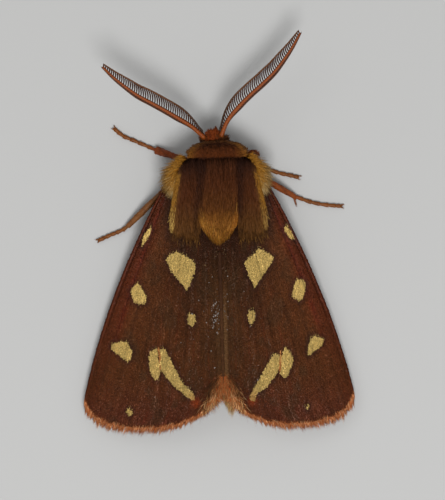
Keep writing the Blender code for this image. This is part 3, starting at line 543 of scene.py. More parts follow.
# The rusty vein that splits the long hind spot in two.
VEIN_IN_BAND = {
    "left": [(5.15, -9.3), (5.3, -9.3), (5.2, -11.2), (5.08, -11.2)],
    "right": [(4.72, -10.0), (4.86, -10.0), (4.72, -11.6), (4.58, -11.6)],
}

# %% Distance to a spot
def outline_distance(x, y, outline):
    """Distance to an outline, negative inside it."""
    corners = np.array(outline)
    inside = np.zeros(np.shape(x), dtype=bool)
    nearest = np.full(np.shape(x), 1e9)
    for (ax, ay), (bx, by) in zip(corners, np.roll(corners, -1, axis=0)):
        crosses = (ay > y) != (by > y)
        rise = by - ay if by != ay else 1e-9
        inside ^= crosses & (x < (bx - ax) * (y - ay) / rise + ax)
        length = (bx - ax) ** 2 + (by - ay) ** 2
        t = np.clip(((x - ax) * (bx - ax) + (y - ay) * (by - ay)) / length, 0, 1)
        nearest = np.minimum(nearest, np.hypot(x - ax - t * (bx - ax), y - ay - t * (by - ay)))
    return np.where(inside, -nearest, nearest)


def spot_distance(side, x, y):
    """Distance to the nearest pale spot; x is the real distance from the body's line."""
    nearest = np.full(np.shape(x), 1e9)
    for outline in SPOTS[side].values():
        nearest = np.minimum(nearest, outline_distance(x, y, outline))
    return nearest

# %% [markdown]
# Colours are laid over each other as a painter would: the ground, streaks along the veins, clouds,
# the rims of the spots, the spots, and last the places where scales are rubbed off.

# %% Forewing colours
def forewing_tint(side, u, v, rng):
    """Colour of the forewing's upper side at each point."""
    place = wing_place("forewing", side, u, v)
    x, y = np.abs(place[..., 0]), place[..., 1]
    shape = np.shape(x)
    # The ground: redder towards the front edge, darker at the root, greyer along the inside.
    tint = mix(CHOCOLATE, "#65331f", step(-11, -16, y))
    tint = mix(tint, BROWN_RED, 0.5 * (1 - step(0.04, 0.32, u)) * step(-16, -3, y))
    tint = mix(tint, BASE_DARK, 0.85 * step(-5.5, -1.5, y) * step(0.3, 0.6, u))
    inside = step(0.62, 0.9, u) * step(-13.5, -9, y) * (1 - step(-4, -1, y))
    tint = mix(tint, BROWN_GREY, 0.55 * inside)
    # Streaks along the veins.
    streak = ripple(u * 70, 3) + 0.6 * ripple(u * 190 + 2 * v, 4)
    tint = mix(tint, BROWN_RED, 0.28 * step(0.2, 1.3, streak))
    tint = mix(tint, BASE_DARK, 0.25 * step(0.2, 1.4, -streak))
    tint = mix(tint, "#6e3c22", 0.2 * vein_nearness(u, v, VEINS, 0.009) * step(0.9, 0.6, u))
    red_band = np.exp(-((u - 0.15 - 0.05 * v) / 0.03) ** 2) * (1 - step(0.55, 0.8, v))
    tint = mix(tint, "#7c2416", 0.5 * red_band * (0.7 + 0.3 * ripple(y * 3, 12)))
    cloud = ripple(x * 1.9 + 0.8 * y, 5) + ripple(y * 1.6 - x, 6)
    tint = tint * (1 + 0.1 * cloud[..., None])
    olive = ripple(x * 1.4 - 0.5 * y, 14) + ripple(y * 0.9 + 0.7 * x, 15)
    tint = mix(tint, "#4c3520", 0.45 * step(0.1, 1.1, olive) * step(0.15, 0.35, u))
    tint = tint * (1 - 0.14 * step(-8, -2.5, y) - 0.13 * (1 - step(0.03, 0.22, u)))[..., None]
    dusk = np.exp(-((x - 2.7) / 1.2) ** 2 - ((y + 5.3) / 2.3) ** 2)
    tint = mix(tint, BASE_DARK, 0.45 * dusk)
    tint = mix(tint, "#622a12", 0.6 * (1 - step(0.012, 0.035, u)))
    # Painted shade: a dark line along the crease behind the front edge.
    tint = mix(tint, "#2e1a10", 0.5 * np.exp(-((u - 0.05) / 0.01) ** 2) * (1 - v))
    # Painted shade on the wing where the flaps of hair lie over it.
    shade_under_flap = step(5.0, 4.0, x) * step(-1.6, 0.4, y)
    tint = mix(tint, "#2a170f", 0.7 * shade_under_flap)
    # A dark rim round each spot.
    near = spot_distance(side, x, y)
    tint = mix(tint, HALO, 0.55 * (1 - step(0.0, 0.5, near)))
    # The line where the wings meet, the inner corner and the rim before the fringe.
    fold = np.exp(-((x - 0.27) / 0.14) ** 2) * step(-4, -7, y) * rng.uniform(0.4, 1.3, shape)
    tint = mix(tint, "#8e6640", np.minimum(fold, 1) * (0.9 if side == "right" else 0.25))
    tint = mix(tint, "#8a4e28", 0.6 * step(0.9, 0.99, u) * step(-11.8, -13.4, y))
    orange = linear("#b04a20")
    corner_gap = np.hypot(x - 2.3, y + 13.95)
    tint = mix(tint, orange, 0.6 * (1 - step(0.1, 0.6, corner_gap)))
    tint = mix(tint, "#8a4e2c", 0.6 * step(0.968, 0.976, v))
    tint = mix(tint, "#9a5a30", 0.7 * step(0.7, 0.95, u) * step(0.93, 0.965, v))
    ragged = near + rng.normal(0, 0.022, shape)
    straw = STRAW * (1 + 0.08 * ripple(x * 5 + y * 3, 8)[..., None])
    straw = mix(straw, orange, 0.3 * (1 - step(0.3, 1.2, corner_gap)))
    tint = np.where((ragged < 0)[..., None], straw, tint)
    line = VEIN_IN_BAND[side]
    gap = outline_distance(x, y, line)
    tint = np.where(((gap < 0) & (near < 0.3))[..., None], mix(orange, STRAW, 0.35), tint)
    # Places where scales have been rubbed off, in clusters near the inner edge.
    share = 1.0 if side == "left" else 0.3
    worn = share * np.exp(-((x - 0.35) / 0.38) ** 2 - ((y + 6.6) / 1.1) ** 2)
    worn = np.maximum(worn, 0.5 * np.exp(-((x - 0.3) / 0.3) ** 2 - ((y + 1.7) / 0.35) ** 2))
    worn = np.maximum(worn, 0.012 * step(0.4, 0.8, u) * step(-14, -11, y) * (1 - step(-5, -2, y)))
    rubbed = rng.random(shape) < 0.4 * worn * (ripple(x * 9 + y * 4, 13) > 0.0)
    worn_tint = mix("#8c7d70", "#c4bcb6", rng.random(shape))
    worn_tint = mix(worn_tint, "#8a6c3a", 0.8 * step(-4, -2.5, y))
    tint = np.where(rubbed[..., None], worn_tint, tint)
    return tint * (1 + rng.normal(0, 0.16, shape)[..., None])

# %% Hindwing and underside colours
def hindwing_tint(side, u, v, rng):
    """Orange with dark blotches: a bar at the cell's end and a row before the margin."""
    place = wing_place("hindwing", side, u, v)
    x, y = np.abs(place[..., 0]), place[..., 1]
    tint = mix("#d98a3c", "#cf6f28", step(-1, 1, ripple(x * 1.3 + y, 9)))
    dark = linear("#3a2015")
    for cx, cy, radius in ((5.9, -6.4, 0.9), (7.2, -11.2, 1.3), (4.6, -12.9, 1.0), (2.8, -12.4, 0.7)):
        gap = np.hypot(x - cx, (y - cy) * 0.9) - radius + 0.15 * ripple(x * 4 + y * 5, 10)
        tint = mix(tint, dark, 1 - step(-0.1, 0.1, gap + rng.normal(0, 0.04, np.shape(x))))
    tint = mix(tint, "#c98a4a", step(0.93, 0.97, v))
    return tint * (1 + rng.normal(0, 0.08, np.shape(x))[..., None])


def underside_tint(wing, side, u, v, rng):
    """The under face: the same markings, paler and duller, as the scales there are thinner."""
    above = forewing_tint(side, u, v, rng) if wing == "forewing" else hindwing_tint(side, u, v, rng)
    return mix(above, "#a9703a", 0.35)


print("spots on each forewing:", len(SPOTS["left"]))

# %% [markdown]
# ## Wing membranes
# Under the scales a wing is a thin film on a fan of hollow veins. It starts as a grid, whose
# points are laid on the roof and lifted along the veins. Solidify then gives it both faces.

# %% Membranes from grids
MEMBRANE_END = 0.976
HIND_MEMBRANE_END = 0.97
MEMBRANE_THICK = 0.12
MEMBRANE_SINK = 0.05


def pick(*pieces):
    """Selects these pieces and nothing else, so that the next operator acts on them alone."""
    bpy.ops.object.select_all(action="DESELECT")
    for piece in pieces:
        piece.select_set(True)
        bpy.context.view_layer.objects.active = pieces[0]


def apply_modifier(piece, kind, **settings):
    modifier = piece.modifiers.new(kind.lower(), kind)
    for name, value in settings.items():
        setattr(modifier, name, value)
    pick(piece)
    bpy.ops.object.modifier_apply(modifier=modifier.name)


def points_of(mesh):
    """A mesh's points in the moth's frame, in millimetres."""
    co = np.empty(len(mesh.vertices) * 3, dtype=np.float32)
    mesh.vertices.foreach_get("co", co)
    return co.reshape(-1, 3).astype(float) / MM - np.array([AXIS[0], AXIS[1], 0.0])

# %% Standing in for a solid
def stand_in(piece, slot, *nodes):
    """The piece belongs to the still body and replaces these solids; slot is not used."""
    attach(piece, "root")
    if nodes:
        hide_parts(*nodes)


def membrane(wing, side, across, along, end):
    pick()
    bpy.ops.mesh.primitive_grid_add(x_subdivisions=across, y_subdivisions=along, size=2)
    piece = bpy.context.object
    piece.name = wing + "_" + side + "_membrane"
    co = np.empty(len(piece.data.vertices) * 3, dtype=np.float32)
    piece.data.vertices.foreach_get("co", co)
    co = co.reshape(-1, 3).astype(float)
    u, v = (co[:, 0] + 1) / 2, (co[:, 1] + 1) / 2 * end
    place = wing_place(wing, side, u, v, wing_relief(wing, u, v) - MEMBRANE_SINK)
    piece.data.vertices.foreach_set("co", to_room(place).astype(np.float32).ravel())
    piece.data.update()
    if sum(face.normal.z for face in piece.data.polygons) < 0:
        pick(piece)
        bpy.ops.object.mode_set(mode="EDIT")
        bpy.ops.mesh.select_all(action="SELECT")
        bpy.ops.mesh.flip_normals()
        bpy.ops.object.mode_set(mode="OBJECT")
    rng = np.random.default_rng(11)
    tint = forewing_tint if wing == "forewing" else hindwing_tint
    set_tint(piece.data, tint(side, u, v, rng))
    apply_modifier(piece, "SOLIDIFY", thickness=MEMBRANE_THICK * MM, offset=-1.0)
    bpy.ops.object.shade_smooth()
    piece.data.materials.append(wing_film)
    stand_in(piece, wing, wing + "_" + side)
    print(piece.name, len(piece.data.polygons), "faces")


for side in SIDES:
    membrane("forewing", side, 140, 110, MEMBRANE_END)
    membrane("hindwing", side, 80, 70, HIND_MEMBRANE_END)

# %% [markdown]
# ## Scales on the wings
# Wing scales lie in rows like roof tiles, roots towards the body and tips towards the margin. The
# real ones are about 0.1 mm long. They are made about twice that here, because finer ones would
# not show. Each takes its colour from its root, which gives the spots their ragged edges.

# %% Rows of scales
FINE = (0.18, 0.105, 0.012)
COARSE = (0.3, 0.2, 0.02)
WING_LENGTH = {"forewing": 19.5, "hindwing": 16.5}
PROBES = 60


def scale_rows(wing, side, row_gap, scale_gap, end, rng):
    """u and v of the scales' roots: rows across the wing, each shifted against the last."""
    probe = np.linspace(0, 1, PROBES)
    us, vs = [], []
    rows = int(WING_LENGTH[wing] * end / row_gap)
    for j in range(rows):
        v = np.full(PROBES, (j + 0.5) / rows * end)
        line = wing_place(wing, side, probe, v)
        gaps = np.linalg.norm(np.diff(line, axis=0), axis=1)
        width = gaps.sum()
        reach = np.concatenate([[0], np.cumsum(gaps)])
        count = max(3, int(width / scale_gap))
        spots = (np.arange(count) + 0.5 + 0.5 * (j % 2) - 0.25) / count * width
        us.append(np.interp(spots, reach, probe))
        vs.append(np.full(count, v[0]))
    u, v = np.concatenate(us), np.concatenate(vs)
    u = np.clip(u + rng.normal(0, 0.002, len(u)), 0.002, 0.998)
    v = np.clip(v + rng.normal(0, 0.0012, len(v)), 0.006, end)
    return u, v


def scale_coat(wing, side, face, row_gap, scale_gap, size, end, seed):
    rng = np.random.default_rng(seed)
    u, v = scale_rows(wing, side, row_gap, scale_gap, end, rng)
    place, along, normal = wing_frame(wing, side, u, v)
    ridge = wing_relief(wing, u, v)
    if face == "top":
        tint = (forewing_tint if wing == "forewing" else hindwing_tint)(side, u, v, rng)
        roots = place + normal * (ridge - MEMBRANE_SINK - 0.01)[:, None]
    else:
        tint = underside_tint(wing, side, u, v, rng)
        roots = place + normal * (ridge - MEMBRANE_SINK - MEMBRANE_THICK + 0.01)[:, None]
        normal = -normal
    turn = rng.normal(0, 0.16, len(u))[:, None]
    tilt = rng.uniform(0.05, 0.16, len(u))[:, None]
    across = np.cross(normal, along)
    way = unit(along + across * turn + normal * tilt)
    lift = unit(np.cross(way, np.cross(normal, way)))
    grow = rng.uniform(0.8, 1.2, len(u))
    sizes = grow[:, None] * np.array(size)
    scales(f"{wing}_{side}_scales_{face}", roots, way, lift, sizes, tint, on_map(u, v))


for side in SIDES:
    scale_coat("forewing", side, "top", 0.078, 0.06, FINE, MEMBRANE_END, 21)
    scale_coat("forewing", side, "under", 0.17, 0.12, COARSE, MEMBRANE_END, 22)
    scale_coat("hindwing", side, "top", 0.19, 0.14, COARSE, HIND_MEMBRANE_END, 23)
    scale_coat("hindwing", side, "under", 0.17, 0.12, COARSE, HIND_MEMBRANE_END, 24)

# %% [markdown]
# ## Fringes
# Along the outer margin stands a fringe of long hair-like scales. It is short at the wing's tip
# and longest at the inner corner, where the fringes of both wings meet over the tail.

# %% Fringe hairs
FRINGE_TINTS = [linear(code) for code in ("#b06a3e", "#8c4a2a", "#c4865a", "#6e3822")]


def fringe(wing, side, count, start, seed):
    rng = np.random.default_rng(seed)
    u = rng.uniform(0.0, 1.0, count)
    v = start - rng.uniform(0, 0.012, count)
    inner = step(0.8, 1.0, u)
    # Hairs stand in small bunches that lean this way and that.
    bunch = (u * 220).astype(int)
    lean = rng.normal(0, 0.004, 221)[bunch]
    long = rng.normal(0, 0.0055, 221)[bunch]
    roots = wing_place(wing, side, u, v, -MEMBRANE_SINK - rng.uniform(0, 0.08, count))
    reach = 0.997 + long + rng.normal(0.0, 1.0, count) * (0.008 + 0.011 * inner)
    tips = wing_place(wing, side, np.clip(u + lean + rng.normal(0, 0.005, count), 0, 1), reach)
    tips[:, 2] -= rng.uniform(0.0, 0.2, count)
    middle = (roots + tips) / 2
    middle[:, 2] += 0.02
    paths = np.stack([roots, middle, tips], axis=1)
    widths = rng.uniform(0.01, 0.018, count)
    pale = np.array(FRINGE_TINTS)[rng.choice(4, count, p=(0.4, 0.3, 0.15, 0.15))]
    pale = mix(pale, "#b86c34", 0.15 + 0.35 * inner)
    if wing == "hindwing":
        pale = mix(pale, "#c98a4a", 0.6)
    pale = mix(pale, "#e0b080", 0.7 * (rng.random(count) < 0.12 + 0.1 * inner))
    shade = (1 + rng.normal(0, 0.18, count))[:, None]
    unwrap = stack(0.02 + 0.96 * u, 0.985)
    blades(
        f"{wing}_{side}_fringe", paths, UP, widths, pale * shade * 0.6, pale * shade * 1.45,
        unwrap, wing_scale)


def inner_edge(side, seed):
    """Short hair on the meeting line and long bright hair at the inner corner of a forewing."""
    rng = np.random.default_rng(seed)
    sign = SIDES[side]
    line, corner = 1900, 2300
    count = line + corner
    at_corner = np.arange(count) >= line
    u = np.where(at_corner, 1 - 0.2 * rng.random(count) ** 1.4, rng.uniform(0.965, 0.997, count))
    v = np.where(at_corner, rng.uniform(0.85, 0.97, count), rng.uniform(0.3, 0.9, count))
    roots = wing_place("forewing", side, u, v, -MEMBRANE_SINK)
    near = step(1.8, 0.2, np.abs(roots[:, 0]))
    long = rng.uniform(0.3, 0.85, count) + 0.2 * near
    along = np.where(at_corner, long, rng.uniform(0.25, 0.5, count))
    inward = np.where(at_corner, rng.normal(0.04, 0.3, count), rng.normal(0.08, 0.05, count))
    drop = np.where(at_corner, rng.uniform(0.0, 0.3, count), -0.02)
    tips = roots + stack(-sign * inward, -along, -drop)
    middle = (roots + tips) / 2 + np.array([0, 0, 0.05])
    paths = np.stack([roots, middle, tips], axis=1)
    brown = mix("#3c2314", "#57381e", rng.random(count) * step(-2, -9, roots[:, 1]))
    low = step(-12.2, -13.7, roots[:, 1])
    bright = mix("#6c3818", "#e2a062", rng.random(count) ** 1.2 * (0.4 + 0.6 * low))
    bright = mix(bright, "#b9501c", 0.6 * (rng.random(count) < 0.25))
    bright = mix(bright, "#f0c890", 0.7 * (rng.random(count) < 0.2) * low)
    # The bright patch is narrow at its top and opens towards the margin.
    patch_half = 0.55 + 0.62 * np.clip(-12.2 - roots[:, 1], 0, None)
    spread = np.abs(roots[:, 0] - 0.1) / patch_half + rng.normal(0, 0.24, count)
    pale = mix(brown, bright, at_corner * step(1.15, 0.8, spread))
    shade = (1 + rng.normal(0, 0.2, count))[:, None]
    blades(
        f"forewing_{side}_inner_hair", paths, UP, rng.uniform(0.011, 0.02, count),
        pale * shade * 0.75, pale * shade * 1.2, on_map(u, v), wing_scale)


for side in SIDES:
    fringe("forewing", side, 7200, MEMBRANE_END, 31)
    fringe("hindwing", side, 1200, HIND_MEMBRANE_END, 32)
    inner_edge(side, 33)

# %% [markdown]
# ## The body's skin
# Under the coat the body is a row of rounded masses: palps, head, neck, thorax with the flaps over
# the wing roots, and a long abdomen. Spheres are placed and stretched, joined and remeshed into
# one closed skin, so no seam shows between them. It lies inside the coat by the hair's depth.

# %% One skin from stretched spheres
SKIN_MASSES = (
    # place, half sizes, turn about x, y and z in degrees
    ((0.0, 3.1, 3.25), (2.25, 3.05, 2.0), (0, 0, 0)),
    ((0.0, 3.0, 4.5), (1.7, 2.7, 1.05), (0, 0, 0)),
    ((2.35, 3.3, 4.55), (0.8, 2.0, 0.3), (0, 30, 0)),
    ((-2.35, 3.3, 4.55), (0.8, 2.0, 0.3), (0, -30, 0)),
    ((2.75, 5.0, 3.9), (0.7, 0.6, 0.5), (0, 0, 0)),
    ((-2.75, 5.0, 3.9), (0.7, 0.6, 0.5), (0, 0, 0)),
    ((0.05, 6.5, 4.0), (2.35, 0.72, 1.0), (0, 0, 0)),
    ((0.0, 6.1, 3.3), (1.2, 0.9, 1.0), (0, 0, 0)),
    ((-0.2, 7.15, 3.15), (0.92, 0.92, 0.95), (0, 0, 7)),
    ((0.02, 8.0, 2.2), (0.18, 0.6, 0.18), (15, 0, 7)),
    ((-0.5, 7.7, 2.15), (0.18, 0.46, 0.18), (15, 0, 0)),
    ((0.0, -6.0, 2.42), (1.7, 6.9, 1.5), (3.2, 0, 0)),
    ((0.0, -0.2, 2.85), (1.55, 1.6, 1.4), (0, 0, 0)),
)
SKIN_VOXEL = 0.11


def fuse(name, pieces, voxel, smooth):
    """Joins closed pieces into one closed surface."""
    pick(*pieces)
    bpy.ops.object.join()
    piece = bpy.context.object
    piece.name = name
    bpy.ops.object.transform_apply(location=True, rotation=True, scale=True)
    apply_modifier(piece, "REMESH", mode="VOXEL", voxel_size=voxel * MM)
    apply_modifier(piece, "SMOOTH", factor=0.5, iterations=smooth)
    bpy.ops.object.shade_smooth()
    print(name, len(piece.data.polygons), "faces")
    return piece


def stretched_sphere(place, size, turn=(0, 0, 0), segments=48, rings=32):
    pick()
    bpy.ops.mesh.primitive_uv_sphere_add(
        segments=segments, ring_count=rings, radius=MM, location=to_room(place),
        rotation=[math.radians(a) for a in turn], scale=size)
    return bpy.context.object


skin = fuse("body_skin", [stretched_sphere(*mass) for mass in SKIN_MASSES], SKIN_VOXEL, 4)

# %% [markdown]
# ## The coat's surface over the back
# Seen from above the coat is long hair combed straight back: a middle panel, a flap over each
# wing root with a groove beside it, and a golden tuft that ends in a point over the wings. All of
# it lies on one dome, kept clear of the wings behind it, and the ruff lies on a dome of its own.

# %% Domes and grooves
COAT_AT = (2.5, 3.3)
COAT_SIZE = (4.3, 5.6, 2.65)
COAT_OVER_WING = 0.6
COAT_RIDGE = 0.34
GROOVE_DEEP = 0.3
GROOVE_HALF = 0.24
RUFF_AT = (0.05, 6.3, 4.0)
RUFF_SIZE = (2.6, 1.2, 1.25)


def groove_x(y, sign):
    """Where the groove beside a flap runs. The left one leans in towards the head."""
    leaning = np.clip(1.05 + 0.155 * (4.8 - y), 0.95, 1.72)
    return np.where(np.asarray(sign) < 0, leaning, 1.68)


def coat_top(x, y):
    """Height of the coat over (x, y)."""
    inside = 1 - (x / COAT_SIZE[0]) ** 2 - ((y - COAT_AT[0]) / COAT_SIZE[1]) ** 2
    dome = COAT_AT[1] + COAT_SIZE[2] * np.sqrt(np.clip(inside, 0, None))
    clear = COAT_OVER_WING * (0.55 + 0.45 * step(-0.8, 0.8, y))
    top = np.maximum(dome, roof(np.abs(x), y) + clear) - 0.25 * step(5.0, 6.3, y)
    top = top + COAT_RIDGE * np.exp(-(x / 1.7) ** 2) * step(5.2, 3.2, y) * step(-0.6, 1.2, y)
    off = np.abs(x) - groove_x(y, x)
    return top - GROOVE_DEEP * np.exp(-(off / GROOVE_HALF) ** 2) * step(-0.6, 1.0, y)


def ruff_top(x, y):
    inside = 1 - ((x - RUFF_AT[0]) / RUFF_SIZE[0]) ** 2 - ((y - RUFF_AT[1]) / RUFF_SIZE[1]) ** 2
    return RUFF_AT[2] + RUFF_SIZE[2] * np.sqrt(np.clip(inside, 0, None))


print("the coat's top over the thorax", round(float(coat_top(0.0, COAT_AT[0])), 2), "mm")

# %% [markdown]
# ## The coat's colours
# The coat is darkest at the front of the thorax, partly its own colour and partly painted shade
# behind the ruff, and golden at the ends of its tufts. Painted shade also darkens the grooves beside
# the flaps, and painted light and shade mark the face. The same function colours the skin and every
# hair, from where the hair's root sits.

# %% Body colours by place
DARK_COAT_AND_SHADE = linear("#26120a")
WARM_COAT = linear("#4b2610")
OLIVE_COAT = linear("#5c3a17")
GOLD_TUFT = linear("#80501b")
YELLOW = linear("#935c10")
PALE_YELLOW = linear("#c89e50")
RUST_HEAD = linear("#6a3216")
RUFF_DARK = linear("#3c1e0d")
RUFF_BROWN = linear("#54290f")
RUFF_GOLD = linear("#7e4e18")
UNDER_COAT = linear("#5c321a")
ABDOMEN_ORANGE = linear("#c77a30")
ABDOMEN_DARK = linear("#33190e")


def flap_edge(y):
    """How far out from the body's line a flap reaches."""
    return 3.05 + 0.78 * step(5.9, 1.2, y)


def body_tint(points, rng):
    """Colour of the coat over each point of the body, in the moth's frame, with painted shade and light.
    """
    x, y, z = points[:, 0], points[:, 1], points[:, 2]
    side = np.abs(x)
    tint = np.tile(UNDER_COAT, (len(points), 1))
    top = step(3.2, 4.0, z)
    off = side - groove_x(y, x)
    # The flaps darken towards the ruff: partly their own dark front, partly painted shade.
    flap = mix(DARK_COAT_AND_SHADE, WARM_COAT, step(5.3, 3.3, y))
    flap = mix(flap, OLIVE_COAT, 0.9 * step(2.6, -0.3, y))
    outer = step(0.55, 0.05, flap_edge(y) - side)
    flap = mix(flap, "#6e4a20", 0.8 * outer * step(5.0, 4.0, y))
    # The panel is near black just behind the ruff: painted shadow of the ruff.
    panel = mix("#241108", WARM_COAT, step(5.7, 4.8, y))
    panel = mix(panel, "#593212", step(3.4, 1.8, y))
    panel = mix(panel, GOLD_TUFT, step(1.5, 0.2, y))
    back = mix(flap, panel, step(0.05, -0.05, off))
    # Painted shade along the groove beside each flap.
    back = mix(back, DARK_COAT_AND_SHADE, 0.75 * np.exp(-((off - 0.12) / 0.26) ** 2) * step(-0.2, 1.5, y))
    tint = mix(tint, back, top)
    shoulder = step(2.6, 3.0, side) * step(3.1, 3.9, y) * step(2.9, 3.3, z) * step(4.6, 4.2, z)
    tint = mix(tint, YELLOW, shoulder)
    rim = np.hypot((x - RUFF_AT[0]) / RUFF_SIZE[0], np.clip(y - RUFF_AT[1], 0, None) / RUFF_SIZE[1])
    ruff = mix(RUFF_DARK, RUFF_BROWN, step(7.0, 6.3, y))
    ruff = mix(ruff, RUFF_GOLD, 0.45 * step(1.3, 2.3, np.abs(x - 0.05)))
    ruff = mix(ruff, "#8a5a22", (0.3 + 0.6 * step(0.8, 2.0, np.abs(x))) * step(0.75, 1.0, rim))
    tint = mix(tint, ruff, step(5.75, 5.95, y) * step(3.0, 3.5, z))
    rust = mix(RUST_HEAD, "#3e1c0e", 0.6 * step(-0.2, 1.2, ripple(x * 6 + 2 * z, 20)))
    rust = mix(rust, "#8e5526", 0.5 * step(0.3, 1.3, ripple(z * 7 - 3 * x, 21)))
    # Painted light and shade on the face: lighter down its middle, darker beside the eyes.
    rust = mix(rust, "#a06a34", 0.5 * np.exp(-((x + 0.3) / 0.3) ** 2) * step(3.9, 3.2, z))
    rust = mix(rust, "#2e140b", 0.7 * step(0.55, 0.85, np.abs(x + 0.25)) * step(3.7, 3.3, z))
    tint = mix(tint, rust, step(7.3, 7.6, y) * step(4.6, 4.3, z))
    belly = step(-0.2, -1.2, y) * step(4.8, 4.4, z)
    stripe = step(0.75, 0.35, side + 0.3 * np.cos(y * 2 * math.pi / 1.55)) * step(3.0, 3.3, z)
    rear = mix(ABDOMEN_ORANGE, ABDOMEN_DARK, stripe * 0.9)
    rear = mix(rear, "#a87c36", step(-12.0, -13.5, y))
    rear = mix(rear, "#8a5228", step(2.2, 1.2, z) * step(-12, -10, y))
    tint = mix(tint, rear, belly)
    return tint * (1 + rng.normal(0, 0.12, len(points)))[:, None]

# %% Colour on the skin
skin_points = points_of(skin.data)
set_tint(skin.data, body_tint(skin_points, np.random.default_rng(41)) * 0.5)
skin.data.materials.append(body_skin_finish)
stand_in(
    skin, "coat", "head", "palp_left", "palp_right", "thorax", "collar", "abdomen", "tegula_left",
    "tegula_right", "shoulder_left", "shoulder_right")
print("skin coloured at", len(skin_points), "points")

# %% [markdown]
# ## Hair that grows from the skin
# Hairs are rooted at random points of the skin, more where an area is larger, and each lies along
# a direction that belongs to its place. Neighbouring tips lean together, as fine hair does, which
# gives the coat its small locks.

# %% Growing hair on a surface
def surface_of(piece):
    """The triangles of a closed piece, for scattering roots."""
    points = points_of(piece.data)
    piece.data.calc_loop_triangles()
    corner = np.empty(len(piece.data.loop_triangles) * 3, dtype=np.int32)
    piece.data.loop_triangles.foreach_get("vertices", corner)
    triangle = points[corner.reshape(-1, 3)]
    normal = np.cross(triangle[:, 1] - triangle[:, 0], triangle[:, 2] - triangle[:, 0])
    return triangle, unit(normal), np.linalg.norm(normal, axis=1) / 2


def scatter(surface, count, where, rng):
    """Random points of a surface where a weight function of place and normal is above 0."""
    triangle, normal, area = surface
    weight = area * where(triangle.mean(axis=1), normal)
    chosen = rng.choice(len(weight), count, p=weight / weight.sum())
    a, b = rng.random(count), rng.random(count)
    flip = a + b > 1
    a, b = np.where(flip, 1 - a, a), np.where(flip, 1 - b, b)
    p = triangle[chosen]
    roots = p[:, 0] + (p[:, 1] - p[:, 0]) * a[:, None] + (p[:, 2] - p[:, 0]) * b[:, None]
    return roots, normal[chosen]


def gather(paths, rng, share, size=14):
    """Bends the tips of neighbouring hairs together into small locks."""
    tips = paths[:, -1]
    heart = tips[rng.choice(len(tips), max(1, len(tips) // size), replace=False)]
    nearest = np.empty(len(tips), dtype=int)
    for k in range(0, len(tips), 2000):
        gap = ((tips[k:k + 2000, None] - heart[None]) ** 2).sum(axis=2)
        nearest[k:k + 2000] = gap.argmin(axis=1)
    pull = (heart[nearest] - tips) * share
    bend = np.linspace(0, 1, paths.shape[1]) ** 1.5
    return paths + pull[:, None] * bend[None, :, None]


def body_unwrap(points):
    """The body unrolled round its own length: angle about the axis, and place along it."""
    angle = np.arctan2(points[:, 0], points[:, 2] - 3.0) / (2 * math.pi) + 0.5
    along = (points[:, 1] + 16.0) / 26.0
    return on_map(angle, along)

# %% A patch of grown hair
def grow_hair(name, count, where, lie, length, width, stand, seed):
    """A patch of coat: lie gives directions, stand how far the hairs rise from the skin."""
    rng = np.random.default_rng(seed)
    roots, normals = scatter(skin_surface, count, where, rng)
    way = lie(roots, normals) + rng.normal(0, 0.1, (count, 3))
    way = unit(way - normals * (way * normals).sum(axis=1)[:, None])
    lengths = length(roots) * rng.uniform(0.75, 1.15, count)
    rise = stand * rng.uniform(0.6, 1.4, count)
    paths = gather(arcs(roots - normals * 0.05, way, normals, lengths, rise), rng, 0.4)
    tint = body_tint(roots, rng)
    blades(
        name, paths, normals, width * rng.uniform(0.7, 1.3, count), tint * 0.7, tint * 1.2,
        body_unwrap(roots))


def backward(points, normals):
    x = points[:, 0]
    return stack(0.12 * x, -1.0, -0.1)


def thorax_sides(points, normals):
    """The flanks and underside of the thorax, below the flaps."""
    y, z = points[:, 1], points[:, 2]
    return (y > -0.6) * (y < 6.3) * (z < 4.5) * 1.0


def abdomen_area(points, normals):
    return (points[:, 1] < -0.4) * 1.0

# %% Hair of the thorax's sides and the abdomen
skin_surface = surface_of(skin)
grow_hair(
    "coat_thorax_under", 4500, thorax_sides, backward, lambda p: 1.0 + 0 * p[:, 0], 0.045, 0.28, 51)
grow_hair(
    "coat_abdomen", 5400, abdomen_area, backward, lambda p: 0.8 + 0.35 * step(-10, -13, p[:, 1]),
    0.05, 0.2, 52)

# %% [markdown]
# ## Combed hair of the back
# These hairs are laid on the dome in layers, from their roots to their tips, so that the outline
# of the coat stays true. The tuft's hairs turn in from both sides and meet in a point.

# %% Laying hair on a dome
def combed(name, top, starts, ends, depth, width, root_tints, tip_tints, seed, share=0.3, bow=0.0):
    """Hairs that lie on a dome from starts to ends, both (x, y), bowed sideways by bow."""
    rng = np.random.default_rng(seed)
    count = len(starts)
    t = np.linspace(0, 1, 4)[None, :, None]
    xy = starts[:, None] * (1 - t) + ends[:, None] * t
    aside = 0.03 * rng.normal(0, 1, count) + bow
    xy[..., 0] += np.sin(math.pi * t[..., 0]) * aside[:, None]
    height = top(xy[..., 0], xy[..., 1])
    sink = depth[:, None] + 0.22 * (1 - t[..., 0]) ** 3 - 0.05 * t[..., 0] ** 2
    paths = np.concatenate([xy, (height - sink)[..., None]], axis=2)
    paths = gather(paths, rng, share)
    x, y = paths[:, 2, 0], paths[:, 2, 1]
    slope = (top(x + 0.1, y) - top(x - 0.1, y)) / 0.2
    up = unit(stack(-slope, 0.0, 1.0))
    blades(
        name, paths, up, width * rng.uniform(0.7, 1.3, count), root_tints, tip_tints,
        body_unwrap(paths[:, 0]))


def tints_at(top, xy, rng, shade=1.0, front=5.65):
    """Colours for hairs at these places, with locks a little lighter and darker."""
    x, y = xy[:, 0], np.minimum(xy[:, 1], front)
    lock = 1 + 0.12 * ripple(x * 11 + 0.8 * y, 18) + 0.06 * ripple(x * 30 - y, 19)
    high = np.maximum(top(x, y), 4.8)
    return body_tint(stack(x, y, high), rng) * shade * lock[:, None]

